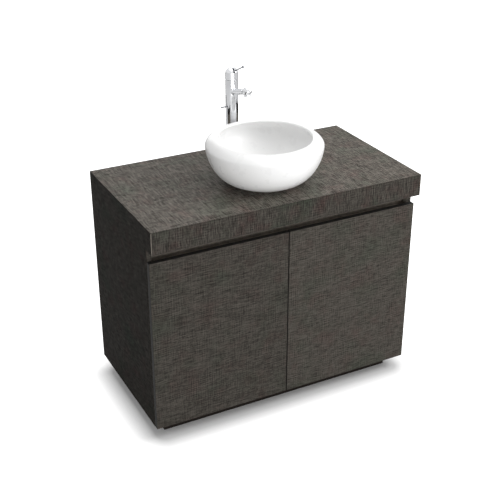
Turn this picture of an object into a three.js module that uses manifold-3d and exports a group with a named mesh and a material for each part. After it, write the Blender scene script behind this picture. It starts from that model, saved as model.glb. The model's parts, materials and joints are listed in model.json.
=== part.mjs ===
// Vessel sink on a two-door vanity cabinet.
// Millimetres, +Z up. The origin is on the floor at the centre of the footprint,
// the doors face -Y and the back edge of the cabinet (+Y) stands against the wall.

import * as THREE from 'three';
import { mergeVertices } from 'three/addons/utils/BufferGeometryUtils.js';
import Module from 'manifold-3d';

const wasm = await Module();
wasm.setup();

// ---------------------------------------------------------------- driving dimensions

// Cabinet
const WIDTH = 900;
const DEPTH = 496;
const COUNTER_HEIGHT = 724;
const PLINTH_HEIGHT = 48;
const BOARD = 16;
const BACK_BOARD = 8;
const APRON_HEIGHT = 70;
const MITRE_GAP = 0.4;

// Front: apron, finger groove and doors
const SIDE_SETBACK = 44;
const DOOR_SEAT_GAP = 2;
const GROOVE_HEIGHT = 38;
const DOOR_EDGE_GAP = 0.5;
const DOOR_CENTRE_GAP = 3;
const GRIP_DEPTH = 24;
const GRIP_DROP = 12;
const GRIP_FLOOR = 12;

// Back and plinth
const BACK_RECESS = 8;
const RAIL_HEIGHT = 100;
const SERVICE_WIDTH = 280;
const SERVICE_BELOW_COUNTER = 134;
const SERVICE_HEIGHT = 190;
const PLINTH_RECESS = 73;
const PLINTH_SIDE_INSET = 42;
const PLINTH_BACK_INSET = 48;

// Concealed hinges: each door turns about one axis that stands for the cup hinge's linkage
const HINGE_FROM_EDGE = 5;
const HINGE_FROM_BACK = 9;
const HINGE_END_DISTANCE = 90;
const CUP_HOLE_RADIUS = 17.5;
const CUP_HOLE_DEPTH = 11.5;
const CUP_CENTRE_FROM_EDGE = 22.5;
const CUP_WALL = 1;
const CUP_FLANGE_THICKNESS = 1.2;
const CUP_FLANGE_HEIGHT = 66;
const CUP_FLANGE_WIDTH = 36;
const HINGE_PLATE_SETBACK = 37;
const BUMPER_RADIUS = 4;
const BUMPER_FROM_EDGE = 12;

// Basin
const BASIN_FROM_TAP = 219;
const BASIN_RADIUS = 179;
const BASIN_HEIGHT = 140;
const BASIN_WIDEST_HEIGHT = 118;
const BASIN_LIP_RADIUS = 148;
const BASIN_LIP_THICKNESS = 5;
const BASIN_FOOT_RADIUS = 96;
const BASIN_FOOT_HEIGHT = 6.5;
const BASIN_FOOT_WIDTH = 12;
const BASIN_UNDERSIDE = 10;
const BASIN_WALL = 15;
const BASIN_FLOOR = 22;
const BASIN_FLOOR_MARGIN = 2.5;
const GASKET_THICKNESS = 1;

// Waste
const TAIL_RADIUS = 19.5;
const TAIL_WALL = 3.5;
const BASIN_HOLE_MARGIN = 3;
const WORKTOP_HOLE_MARGIN = 5.5;
const FLANGE_RIM = 12.5;
const FLANGE_THICKNESS = 3.5;
const FLANGE_RECESS = 3;
const TAIL_BOTTOM = -160;
const PLUG_OVERLAP = 3;
const PLUG_THICKNESS = 3.5;
const PLUG_SEAT_DEPTH = 4.5;
const PLUG_RAISED = 4.4;
const STEM_RADIUS = 3;
const WASHER_WIDTH = 16.5;
const WASHER_THICKNESS = 4;
const LOCKNUT_WALL = 10.5;
const LOCKNUT_HEIGHT = 12;

// Pop-up linkage
const BALL_ROD_Z = -114;
const BALL_ROD_RADIUS = 2.5;
const BALL_RADIUS = 5.7;
const BALL_FROM_TAIL = 6;
const BALL_ROD_INNER_ARM = 28.5;
const BALL_ROD_OVERHANG = 8;
const PORT_WALL = 2.5;
const PORT_NUT_WALL = 2.5;
const PORT_LIP = 0.5;
const PORT_LIP_THICKNESS = 3.2;
const PORT_SKIRT = 6.4;
const LIFT_TRAVEL = 36;
const LIFT_ROD_RADIUS = 2;
const LIFT_ROD_Y = 1;
const LIFT_PIN_Z = 169;
const LIFT_PIN_RADIUS = 2.3;
const LIFT_PIN_OUT = 18;
const STRAP_WIDTH = 12;
const STRAP_THICKNESS = 1.5;
const STRAP_HEIGHT = 50;
const STRAP_BELOW_ROD = 10;
const STRAP_HOLE_RADIUS = 3.4;

// Bottle trap
const TRAP_RADIUS = 30;
const TRAP_WALL = 3.2;
const TRAP_NECK_WALL = 4.5;
const TRAP_NECK_TOP = -138;
const TRAP_SHOULDER = -158;
const TRAP_JOINT = -236;
const TRAP_BOTTOM = -306;
const TRAP_OUTLET_Z = -190;
const TRAP_PORT_LENGTH = 48;
const TRAP_PORT_WALL = 4.5;
const TRAP_NUT_WALL = 5.5;
const TRAP_NUT_LENGTH = 20;
const OUTLET_RADIUS = 16;
const OUTLET_WALL = 2.5;

// Tap
const TAP_FROM_BACK = 91.5;
const TAP_HOLE_RADIUS = 17.5;
const TAP_RADIUS = 20;
const TAP_WALL = 4;
const TAP_BASE_RIM = 5;
const TAP_BASE_HEIGHT = 7;
const TAP_BODY_TOP = 256;
const CAP_TOP = 295;
const CAP_SHOULDER = 277;
const CAP_WALL = 7.5;
const CAP_ROOF = 6;
const SPOUT_RADIUS = 9.3;
const SPOUT_HEAD_SWELL = 3.5;
const SPOUT_HEAD_START = 96;
const SPOUT_LENGTH = 127.5;
const SPOUT_AXIS_Z = 213.7;
const SPOUT_RISE = 17.4;
const AERATOR_INSET = 2.3;
const AERATOR_REACH = 3.7;
const AERATOR_FROM_TIP = 20;
const LEVER_RISE = 26.3;
const LEVER_LENGTH = 87;
const LEVER_RADIUS = 2.75;
const LEVER_BALL_RADIUS = 4;
const LEVER_HUB_RADIUS = 5;
const LEVER_TILT = 20;
const CARTRIDGE_BOTTOM = 212;
const CARTRIDGE_TOP = 252;
const CARTRIDGE_NECK_RADIUS = 7.5;
const CARTRIDGE_NECK_TOP = 264;

// Tap fixing under the worktop
const STUD_Y = 9.5;
const STUD_RADIUS = 3;
const STUD_BOTTOM = -58;
const STUD_TOP = 14;
const STUD_NUT_FLATS = 11;
const STUD_NUT_HEIGHT = 11;
const CLAMP_RADIUS = 27;
const CLAMP_THICKNESS = 4;
const INLET_X = 9.5;
const INLET_Y = -4;
const INLET_RADIUS = 5.2;
const INLET_WALL = 2.2;
const INLET_BOTTOM = -112;
const INLET_TOP = 20;

// Facets around a turned piece: large, ordinary and small
const ROUND_LARGE = 36;
const ROUND = 24;
const ROUND_SMALL = 14;

// Fits: every clearance between pieces that turn, slide or seat on curved faces
const CLEARANCE = 0.3;
const HOLE_CLEARANCE = 0.4;

// ---------------------------------------------------------------- derived places

const HALF_WIDTH = WIDTH / 2;
const INNER_HALF = HALF_WIDTH - BOARD;
const FRONT = -DEPTH / 2;
const BACK = DEPTH / 2;
const WORKTOP_UNDERSIDE = COUNTER_HEIGHT - BOARD;
const APRON_BOTTOM = COUNTER_HEIGHT - APRON_HEIGHT;
const APRON_BACK = FRONT + BOARD;
const SIDE_FRONT = FRONT + SIDE_SETBACK;
const DOOR_BACK = SIDE_FRONT - DOOR_SEAT_GAP;
const DOOR_BOTTOM = PLINTH_HEIGHT;
const DOOR_TOP = APRON_BOTTOM - GROOVE_HEIGHT;
const GRIP_WALL_FRONT = SIDE_FRONT + GRIP_DEPTH;
const GRIP_FLOOR_TOP = DOOR_TOP - GRIP_DROP;
const GRIP_FLOOR_BOTTOM = GRIP_FLOOR_TOP - GRIP_FLOOR;
const BACK_PANEL_BACK = BACK - BACK_RECESS;
const BACK_PANEL_FRONT = BACK_PANEL_BACK - BACK_BOARD;
const SERVICE_TOP = COUNTER_HEIGHT - SERVICE_BELOW_COUNTER;
const PLINTH_FRONT = FRONT + PLINTH_RECESS;
const PLINTH_BACK = BACK - PLINTH_BACK_INSET;
const PLINTH_HALF = HALF_WIDTH - PLINTH_SIDE_INSET;
const HINGE_X = HALF_WIDTH - DOOR_EDGE_GAP - HINGE_FROM_EDGE;
const HINGE_Y = DOOR_BACK - HINGE_FROM_BACK;
const HINGE_HEIGHTS = { lower: DOOR_BOTTOM + HINGE_END_DISTANCE, upper: DOOR_TOP - HINGE_END_DISTANCE };
const TAP_Y = BACK - TAP_FROM_BACK;
const TAP_BORE = TAP_RADIUS - TAP_WALL;
const CAP_BORE = TAP_RADIUS - CAP_WALL;
const SPOUT_HEAD_RADIUS = SPOUT_RADIUS + SPOUT_HEAD_SWELL;
const BASIN_Y = TAP_Y - BASIN_FROM_TAP;
const WASTE_HOLE_RADIUS = TAIL_RADIUS + BASIN_HOLE_MARGIN;
const TAIL_BORE = TAIL_RADIUS - TAIL_WALL;
const PLUG_RADIUS = TAIL_BORE + PLUG_OVERLAP;
const FLANGE_RADIUS = PLUG_RADIUS + FLANGE_RIM;
const FLANGE_SEAT = BASIN_FLOOR - FLANGE_RECESS;
const FLANGE_TOP = FLANGE_SEAT + FLANGE_THICKNESS;
const PLUG_SEAT = FLANGE_TOP - PLUG_SEAT_DEPTH;
const BALL_Y = TAIL_RADIUS + BALL_FROM_TAIL;
const PORT_BORE = BALL_RADIUS + CLEARANCE;
const PORT_RADIUS = PORT_BORE + PORT_WALL;
const TRAP_NECK_RADIUS = TAIL_RADIUS + TRAP_NECK_WALL;
const TRAP_PORT_RADIUS = OUTLET_RADIUS + TRAP_PORT_WALL;
const LIFT_ROD_BOTTOM = BALL_ROD_Z + STRAP_HEIGHT - 2 * STRAP_BELOW_ROD;
const STRAP_FRONT = LIFT_ROD_Y + LIFT_ROD_RADIUS + CLEARANCE;
const BODY_BOTTOM = TAP_BASE_HEIGHT;
const CAP_BOTTOM = TAP_BODY_TOP + HOLE_CLEARANCE;

// ---------------------------------------------------------------- finishes

const FINISHES = {
  linen_laminate: { color: 0x4a4640, roughness: 0.62, metalness: 0 },
  dark_board: { color: 0x35322e, roughness: 0.75, metalness: 0 },
  glazed_ceramic: { color: 0xf4f4f2, roughness: 0.12, metalness: 0 },
  chrome: { color: 0xd9dbdd, roughness: 0.08, metalness: 1 },
  plated_steel: { color: 0xb4b6b8, roughness: 0.35, metalness: 1 },
  brass: { color: 0xb08d4a, roughness: 0.35, metalness: 1 },
  white_plastic: { color: 0xe8e8e6, roughness: 0.45, metalness: 0 },
  black_rubber: { color: 0x1e1e1e, roughness: 0.9, metalness: 0 },
  clear_rubber: { color: 0xc9c9c4, roughness: 0.5, metalness: 0 },
};

// ---------------------------------------------------------------- geometry helpers

// Keep only merged positions, drop collapsed triangles and turn every face outwards.
function closed(geometry) {
  geometry.deleteAttribute('normal');
  geometry.deleteAttribute('uv');
  const merged = mergeVertices(geometry, 1e-4);
  const index = merged.getIndex().array;
  const point = merged.getAttribute('position');
  const corners = [new THREE.Vector3(), new THREE.Vector3(), new THREE.Vector3()];
  const faces = [];
  let volume = 0;
  for (let i = 0; i < index.length; i += 3) {
    const [a, b, c] = [index[i], index[i + 1], index[i + 2]];
    if (a === b || b === c || c === a) continue;
    [a, b, c].forEach((vertex, k) => corners[k].fromBufferAttribute(point, vertex));
    volume += corners[0].dot(corners[1].clone().cross(corners[2]));
    faces.push([a, b, c]);
  }
  const outward = volume > 0 ? faces : faces.map(([a, b, c]) => [a, c, b]);
  merged.setIndex(outward.flat());
  return merged;
}

function toSolid(geometry) {
  const mesh = closed(geometry);
  return new wasm.Manifold(new wasm.Mesh({
    numProp: 3,
    vertProperties: new Float32Array(mesh.getAttribute('position').array),
    triVerts: new Uint32Array(mesh.getIndex().array),
  }));
}

function toGeometry(solid) {
  const mesh = solid.getMesh();
  const geometry = new THREE.BufferGeometry();
  geometry.setAttribute('position', new THREE.BufferAttribute(mesh.vertProperties, 3));
  geometry.setIndex(new THREE.BufferAttribute(mesh.triVerts, 1));
  return geometry;
}

function join(first, ...others) {
  return toGeometry(others.reduce((sum, other) => sum.add(toSolid(other)), toSolid(first)));
}

function cut(first, ...tools) {
  return toGeometry(tools.reduce((rest, tool) => rest.subtract(toSolid(tool)), toSolid(first)));
}

// A block between two values on each axis, with its corners exactly there.
function block([x0, x1], [y0, y1], [z0, z1]) {
  const geometry = new THREE.BoxGeometry(1, 1, 1);
  const point = geometry.getAttribute('position');
  for (let i = 0; i < point.count; i += 1) {
    point.setXYZ(
      i,
      point.getX(i) < 0 ? x0 : x1,
      point.getY(i) < 0 ? y0 : y1,
      point.getZ(i) < 0 ? z0 : z1,
    );
  }
  return geometry;
}

// Turn a geometry made about Y so that it stands about Z, without rounding.
function upright(geometry) {
  const point = geometry.getAttribute('position');
  for (let i = 0; i < point.count; i += 1) {
    point.setXYZ(i, point.getX(i), -point.getZ(i), point.getY(i));
  }
  return geometry;
}

// A body turned about Z from [radius, height] points.
function turned(profile, segments = ROUND) {
  const points = profile.map(([radius, height]) => new THREE.Vector2(radius, height));
  return upright(new THREE.LatheGeometry(points, segments));
}

function cylinder(radius, bottom, top, segments = ROUND) {
  return turned([[0, bottom], [radius, bottom], [radius, top], [0, top]], segments);
}

function ring(outer, inner, bottom, top, segments = ROUND) {
  const profile = [[inner, bottom], [outer, bottom], [outer, top], [inner, top], [inner, bottom]];
  return turned(profile, segments);
}

function hexNut(acrossFlats, boreRadius, bottom, top) {
  const shape = new THREE.Shape();
  for (let i = 0; i < 6; i += 1) {
    const angle = i * Math.PI / 3;
    const corner = acrossFlats / Math.sqrt(3);
    const [x, y] = [corner * Math.cos(angle), corner * Math.sin(angle)];
    if (i === 0) shape.moveTo(x, y);
    else shape.lineTo(x, y);
  }
  shape.closePath();
  const bore = new THREE.Path();
  bore.absarc(0, 0, boreRadius, 0, Math.PI * 2, true);
  shape.holes.push(bore);
  const depth = top - bottom;
  const geometry = new THREE.ExtrudeGeometry(shape, { depth, bevelEnabled: false, curveSegments: 12 });
  return geometry.translate(0, 0, bottom);
}

// Aim a body made about Z, with its start at the origin, along a direction from a point.
function aimed(geometry, start, direction) {
  const up = new THREE.Vector3(0, 0, 1);
  const turn = new THREE.Quaternion().setFromUnitVectors(up, direction.clone().normalize());
  return geometry.applyQuaternion(turn).translate(start.x, start.y, start.z);
}

const ALONG_X = new THREE.Vector3(1, 0, 0);
const ALONG_Y = new THREE.Vector3(0, 1, 0);

// A solid between two outlines of equally many points: place(a, b, level) gives [x, y, z].
function loft(outlineA, levelA, outlineB, levelB, place) {
  const count = outlineA.length;
  const positions = [
    ...outlineA.flatMap(([a, b]) => place(a, b, levelA)),
    ...outlineB.flatMap(([a, b]) => place(a, b, levelB)),
  ];
  const caps = [outlineA, outlineB].map((outline) => {
    const points = outline.map(([a, b]) => new THREE.Vector2(a, b));
    return THREE.ShapeUtils.triangulateShape(points, []).map(([i, j, k]) => {
      const turn = THREE.ShapeUtils.area([points[i], points[j], points[k]]);
      return turn > 0 ? [i, j, k] : [i, k, j];
    });
  });
  const faces = [
    ...caps[0].map(([i, j, k]) => [i, k, j]),
    ...caps[1].map((face) => face.map((i) => i + count)),
  ];
  for (let i = 0; i < count; i += 1) {
    const next = (i + 1) % count;
    faces.push([i, next, next + count], [i, next + count, i + count]);
  }
  const geometry = new THREE.BufferGeometry();
  geometry.setAttribute('position', new THREE.Float32BufferAttribute(positions, 3));
  geometry.setIndex(faces.flat());
  return geometry;
}

// ---------------------------------------------------------------- assembly

const vanity = new THREE.Group();

function add(parent, name, geometry, finish) {
  const mesh = new THREE.Mesh(closed(geometry), new THREE.MeshStandardMaterial(FINISHES[finish]));
  mesh.name = name;
  mesh.geometry.computeVertexNormals();
  parent.add(mesh);
}

function groupAt(x, y, z) {
  const group = new THREE.Group();
  group.position.set(x, y, z);
  vanity.add(group);
  return group;
}

const SIDES = [['left', -1], ['right', 1]];

// ---------------------------------------------------------------- cabinet

// The side panel is one L-shaped board whose nose closes the end of the front apron.
// Its top edge and its nose are mitred at 45 degrees for the worktop and the apron.
function sidePanel(side) {
  const outer = [
    [SIDE_FRONT, PLINTH_HEIGHT], [BACK, PLINTH_HEIGHT], [BACK, COUNTER_HEIGHT],
    [FRONT, COUNTER_HEIGHT], [FRONT, APRON_BOTTOM], [SIDE_FRONT, APRON_BOTTOM],
  ];
  const inner = [
    [SIDE_FRONT, PLINTH_HEIGHT], [BACK, PLINTH_HEIGHT], [BACK, WORKTOP_UNDERSIDE],
    [APRON_BACK, WORKTOP_UNDERSIDE], [APRON_BACK, APRON_BOTTOM], [SIDE_FRONT, APRON_BOTTOM],
  ];
  return loft(inner, side * INNER_HALF, outer, side * HALF_WIDTH, (y, z, x) => [x, y, z]);
}

// The worktop is mitred to both side panels and to the apron, and drilled for tap and waste.
function worktop() {
  const outline = (half, front) => [[-half, front], [half, front], [half, BACK], [-half, BACK]];
  const panel = loft(
    outline(INNER_HALF - MITRE_GAP, APRON_BACK + MITRE_GAP), WORKTOP_UNDERSIDE,
    outline(HALF_WIDTH - MITRE_GAP, FRONT + MITRE_GAP), COUNTER_HEIGHT,
    (x, y, z) => [x, y, z],
  );
  const hole = (radius, y) => {
    return cylinder(radius, WORKTOP_UNDERSIDE - 1, COUNTER_HEIGHT + 1).translate(0, y, 0);
  };
  return cut(panel, hole(TAP_HOLE_RADIUS, TAP_Y), hole(TAIL_RADIUS + WORKTOP_HOLE_MARGIN, BASIN_Y));
}

function frontApron() {
  const outline = (half, top) => [[-half, APRON_BOTTOM], [half, APRON_BOTTOM], [half, top], [-half, top]];
  return loft(
    outline(HALF_WIDTH - MITRE_GAP, COUNTER_HEIGHT), FRONT,
    outline(INNER_HALF - MITRE_GAP, WORKTOP_UNDERSIDE), APRON_BACK,
    (x, z, y) => [x, y, z],
  );
}

// Behind the doors' top edge an L-shaped channel leaves room for the fingers.
function gripChannel() {
  const wallBack = GRIP_WALL_FRONT + BOARD;
  const outline = [
    [SIDE_FRONT, GRIP_FLOOR_BOTTOM], [wallBack, GRIP_FLOOR_BOTTOM], [wallBack, WORKTOP_UNDERSIDE],
    [GRIP_WALL_FRONT, WORKTOP_UNDERSIDE], [GRIP_WALL_FRONT, GRIP_FLOOR_TOP],
    [SIDE_FRONT, GRIP_FLOOR_TOP],
  ];
  return loft(outline, -INNER_HALF, outline, INNER_HALF, (y, z, x) => [x, y, z]);
}

function backPanel() {
  const panel = block(
    [-INNER_HALF, INNER_HALF],
    [BACK_PANEL_FRONT, BACK_PANEL_BACK],
    [PLINTH_HEIGHT, WORKTOP_UNDERSIDE],
  );
  const service = block(
    [-SERVICE_WIDTH / 2, SERVICE_WIDTH / 2],
    [BACK_PANEL_FRONT - 1, BACK_PANEL_BACK + 1],
    [SERVICE_TOP - SERVICE_HEIGHT, SERVICE_TOP],
  );
  return cut(panel, service);
}

function addCabinet() {
  const innerX = [-INNER_HALF, INNER_HALF];
  const plinthX = [-PLINTH_HALF, PLINTH_HALF];
  const plinthZ = [0, PLINTH_HEIGHT];
  const plinthSideY = [PLINTH_FRONT + BOARD, PLINTH_BACK - BOARD];
  for (const [name, side] of SIDES) {
    add(vanity, `${name}_side_panel`, sidePanel(side), 'linen_laminate');
    const plinthSide = [side * PLINTH_HALF, side * (PLINTH_HALF - BOARD)].sort((a, b) => a - b);
    add(vanity, `plinth_${name}`, block(plinthSide, plinthSideY, plinthZ), 'linen_laminate');
  }
  add(vanity, 'worktop', worktop(), 'linen_laminate');
  add(vanity, 'front_apron', frontApron(), 'linen_laminate');
  const soffit = block(innerX, [APRON_BACK, GRIP_WALL_FRONT], [APRON_BOTTOM, APRON_BOTTOM + BOARD]);
  add(vanity, 'apron_soffit', soffit, 'linen_laminate');
  add(vanity, 'grip_channel', gripChannel(), 'linen_laminate');
  const bottom = block(innerX, [SIDE_FRONT, BACK_PANEL_FRONT], [PLINTH_HEIGHT, PLINTH_HEIGHT + BOARD]);
  add(vanity, 'bottom_panel', bottom, 'dark_board');
  add(vanity, 'back_panel', backPanel(), 'dark_board');
  const rail = block(
    innerX,
    [BACK_PANEL_FRONT - BOARD, BACK_PANEL_FRONT],
    [WORKTOP_UNDERSIDE - RAIL_HEIGHT, WORKTOP_UNDERSIDE],
  );
  add(vanity, 'rear_fixing_rail', rail, 'dark_board');
  const plinthFront = block(plinthX, [PLINTH_FRONT, PLINTH_FRONT + BOARD], plinthZ);
  add(vanity, 'plinth_front', plinthFront, 'linen_laminate');
  const plinthBack = block(plinthX, [PLINTH_BACK - BOARD, PLINTH_BACK], plinthZ);
  add(vanity, 'plinth_back', plinthBack, 'dark_board');
}

// ---------------------------------------------------------------- doors and hinges

// Door pieces are made about the hinge axis; x runs from it towards the door's free edge.
const CUP_X = CUP_CENTRE_FROM_EDGE - HINGE_FROM_EDGE;
const DOOR_WIDTH = HALF_WIDTH - DOOR_EDGE_GAP - DOOR_CENTRE_GAP / 2;

function mirrored([x0, x1], side) {
  return [-side * x0, -side * x1].sort((a, b) => a - b);
}

function doorPanel(side) {
  const panel = block(
    mirrored([-HINGE_FROM_EDGE, DOOR_WIDTH - HINGE_FROM_EDGE], side),
    [HINGE_FROM_BACK - BOARD, HINGE_FROM_BACK],
    [DOOR_BOTTOM, DOOR_TOP],
  );
  const cupHoles = Object.values(HINGE_HEIGHTS).map((height) => {
    const hole = cylinder(CUP_HOLE_RADIUS, -CUP_HOLE_DEPTH, 1);
    return aimed(hole, new THREE.Vector3(-side * CUP_X, HINGE_FROM_BACK, height), ALONG_Y);
  });
  return cut(panel, ...cupHoles);
}

function hingeCup(side, height) {
  const outer = cylinder(CUP_HOLE_RADIUS - CLEARANCE, CLEARANCE - CUP_HOLE_DEPTH, CUP_FLANGE_THICKNESS / 2);
  const hollow = cylinder(
    CUP_HOLE_RADIUS - CLEARANCE - CUP_WALL,
    CLEARANCE + CUP_WALL - CUP_HOLE_DEPTH,
    CUP_FLANGE_THICKNESS + 1,
  );
  const centre = new THREE.Vector3(-side * CUP_X, HINGE_FROM_BACK, height);
  const flange = block(
    mirrored([CUP_X - CUP_FLANGE_WIDTH / 2 - CLEARANCE, CUP_X + CUP_FLANGE_WIDTH / 2], side),
    [HINGE_FROM_BACK, HINGE_FROM_BACK + CUP_FLANGE_THICKNESS],
    [height - CUP_FLANGE_HEIGHT / 2, height + CUP_FLANGE_HEIGHT / 2],
  );
  const body = join(flange, aimed(outer, centre, ALONG_Y));
  return cut(body, aimed(hollow, centre, ALONG_Y));
}

// The plate is screwed to the side panel's inner face; sizes run from that face inwards.
const PLATE = { base: 4, boss: 10, length: 36, height: 48, bossHeight: 16 };

function hingePlate(side, height) {
  const centreY = SIDE_FRONT + HINGE_PLATE_SETBACK;
  const y = [centreY - PLATE.length / 2, centreY + PLATE.length / 2];
  const base = block(
    mirrored([-INNER_HALF, PLATE.base - INNER_HALF], side),
    y,
    [height - PLATE.height / 2, height + PLATE.height / 2],
  );
  const boss = block(
    mirrored([PLATE.base - 1 - INNER_HALF, PLATE.boss - INNER_HALF], side),
    y,
    [height - PLATE.bossHeight / 2, height + PLATE.bossHeight / 2],
  );
  return join(base, boss);
}

// The arm runs from the plate's boss forward, and its nose dips into the cup.
const ARM = { thickness: 8, height: 14, noseDip: 3, noseBack: 9, noseStep: 7, nose: 11, rear: 45 };

function hingeArm(side, height) {
  const x0 = PLATE.boss - INNER_HALF;
  const x1 = x0 + ARM.thickness;
  const noseX0 = x0 - ARM.thickness / 2;
  const noseX1 = noseX0 + ARM.nose;
  const tip = DOOR_BACK - ARM.noseDip;
  const shoulder = tip + ARM.noseBack + ARM.noseStep;
  const back = SIDE_FRONT + HINGE_PLATE_SETBACK + ARM.rear / 2;
  const outline = [
    [noseX0, tip], [noseX1, tip], [noseX1, tip + ARM.noseBack], [x1, shoulder],
    [x1, back], [x0, back], [x0, shoulder], [noseX0, tip + ARM.noseBack],
  ].map(([x, y]) => [-side * x, y]);
  const ordered = THREE.ShapeUtils.isClockWise(outline.map(([x, y]) => new THREE.Vector2(x, y)))
    ? outline.reverse()
    : outline;
  const bottom = height - ARM.height / 2;
  return loft(ordered, bottom, ordered, bottom + ARM.height, (x, y, z) => [x, y, z]);
}

function addDoor(name, side) {
  const door = groupAt(side * HINGE_X, HINGE_Y, 0);
  add(door, `${name}_door`, doorPanel(side), 'linen_laminate');
  for (const [level, height] of Object.entries(HINGE_HEIGHTS)) {
    add(door, `${name}_${level}_hinge_cup`, hingeCup(side, height), 'plated_steel');
    add(vanity, `${name}_${level}_hinge_plate`, hingePlate(side, height), 'plated_steel');
    add(vanity, `${name}_${level}_hinge_arm`, hingeArm(side, height), 'plated_steel');
  }
  const bumperX = -side * (DOOR_WIDTH - HINGE_FROM_EDGE - BUMPER_FROM_EDGE);
  const bumperHeights = {
    lower: PLINTH_HEIGHT + BOARD / 2,
    upper: (GRIP_FLOOR_BOTTOM + GRIP_FLOOR_TOP) / 2,
  };
  for (const [level, height] of Object.entries(bumperHeights)) {
    const pad = cylinder(BUMPER_RADIUS, 0, DOOR_SEAT_GAP - CLEARANCE, ROUND_SMALL);
    aimed(pad, new THREE.Vector3(bumperX, HINGE_FROM_BACK, height), ALONG_Y);
    add(door, `${name}_${level}_door_bumper`, pad, 'clear_rubber');
  }
}

// ---------------------------------------------------------------- basin and waste

// Quarter of a rounded curve from [r0, z0], where it leaves flat, to [r1, z1], where it is upright.
function bulge([r0, z0], [r1, z1], power, steps) {
  const points = [];
  for (let i = 0; i <= steps; i += 1) {
    const share = Math.sin((i / steps) * Math.PI / 2);
    const fall = 1 - share;
    points.push([r0 + (r1 - r0) * Math.sqrt(Math.max(0, 1 - fall ** power)), z0 + (z1 - z0) * share]);
  }
  return points;
}

function basinBowl() {
  const widest = [BASIN_RADIUS, BASIN_WIDEST_HEIGHT];
  const lipTop = [BASIN_LIP_RADIUS, BASIN_HEIGHT];
  const innerLip = [BASIN_LIP_RADIUS - BASIN_LIP_THICKNESS, BASIN_HEIGHT - BASIN_LIP_THICKNESS];
  const innerWidest = [BASIN_RADIUS - BASIN_WALL, BASIN_WIDEST_HEIGHT - BASIN_WALL];
  const outside = bulge([BASIN_FOOT_RADIUS, BASIN_FOOT_HEIGHT], widest, 1.7, 8);
  const shoulder = bulge(lipTop, widest, 1.32, 5).reverse().slice(1);
  const lip = [[BASIN_LIP_RADIUS - BASIN_LIP_THICKNESS * 0.7, BASIN_HEIGHT - BASIN_LIP_THICKNESS * 0.3]];
  const undercut = bulge(innerLip, innerWidest, 1.6, 3);
  const floorEdge = [FLANGE_RADIUS + BASIN_FLOOR_MARGIN, BASIN_FLOOR];
  const bowl = bulge(floorEdge, innerWidest, 1.8, 7).reverse().slice(1);
  const footInner = BASIN_FOOT_RADIUS - BASIN_FOOT_WIDTH;
  const profile = [
    [WASTE_HOLE_RADIUS, BASIN_UNDERSIDE],
    [footInner, BASIN_UNDERSIDE],
    [footInner, GASKET_THICKNESS],
    [BASIN_FOOT_RADIUS, GASKET_THICKNESS],
    ...outside, ...shoulder, ...lip, ...undercut, ...bowl,
    [FLANGE_RADIUS + CLEARANCE, FLANGE_SEAT],
    [WASTE_HOLE_RADIUS, FLANGE_SEAT],
    [WASTE_HOLE_RADIUS, BASIN_UNDERSIDE],
  ];
  return turned(profile, ROUND_LARGE);
}

// Flange, threaded tail and the side port for the ball rod are one casting.
function wasteBody() {
  const shell = turned([
    [TAIL_BORE, TAIL_BOTTOM], [TAIL_RADIUS, TAIL_BOTTOM], [TAIL_RADIUS, FLANGE_SEAT],
    [FLANGE_RADIUS, FLANGE_SEAT], [FLANGE_RADIUS, FLANGE_TOP], [PLUG_RADIUS + 1, FLANGE_TOP],
    [PLUG_RADIUS + 1, PLUG_SEAT], [TAIL_BORE, PLUG_SEAT], [TAIL_BORE, TAIL_BOTTOM],
  ]);
  const portStart = (TAIL_BORE + TAIL_RADIUS) / 2;
  const portEnd = BALL_Y + TAIL_WALL;
  const start = new THREE.Vector3(0, 0, BALL_ROD_Z);
  const port = aimed(cylinder(PORT_RADIUS, portStart, portEnd), start, ALONG_Y);
  const bore = aimed(cylinder(PORT_BORE, TAIL_BORE - 4, portEnd + 1), start, ALONG_Y);
  return cut(join(shell, port), bore);
}

function portNut() {
  const lip = BALL_Y + TAIL_WALL + CLEARANCE;
  const [skirtEnd, lipEnd] = [lip - PORT_SKIRT, lip + PORT_LIP_THICKNESS];
  const over = PORT_RADIUS + CLEARANCE;
  const outer = PORT_RADIUS + PORT_NUT_WALL;
  const lipBore = BALL_RADIUS - PORT_LIP;
  const nut = turned([
    [over, skirtEnd], [outer, skirtEnd], [outer, lipEnd], [lipBore, lipEnd],
    [lipBore, lip], [over, lip], [over, skirtEnd],
  ]);
  return aimed(nut, new THREE.Vector3(0, 0, BALL_ROD_Z), ALONG_Y);
}

function ballRod() {
  const end = TAP_Y + BALL_ROD_OVERHANG - BASIN_Y;
  const rod = cylinder(BALL_ROD_RADIUS, BALL_Y - BALL_ROD_INNER_ARM, end, ROUND_SMALL);
  const start = new THREE.Vector3(0, 0, BALL_ROD_Z);
  const ball = new THREE.SphereGeometry(BALL_RADIUS, ROUND_SMALL, 8).translate(0, BALL_Y, BALL_ROD_Z);
  return join(aimed(rod, start, ALONG_Y), ball);
}

function wastePlug() {
  const bottom = PLUG_SEAT + PLUG_RAISED;
  const edge = bottom + PLUG_THICKNESS;
  const stemBottom = BALL_ROD_Z + BALL_ROD_RADIUS + CLEARANCE;
  return turned([
    [0, stemBottom], [STEM_RADIUS, stemBottom], [STEM_RADIUS, bottom], [PLUG_RADIUS - 1, bottom],
    [PLUG_RADIUS, bottom + 1], [PLUG_RADIUS, edge - 1], [PLUG_RADIUS - 2, edge],
    [PLUG_RADIUS * 0.6, edge + 1.2], [0, edge + 1.8],
  ]);
}

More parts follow.
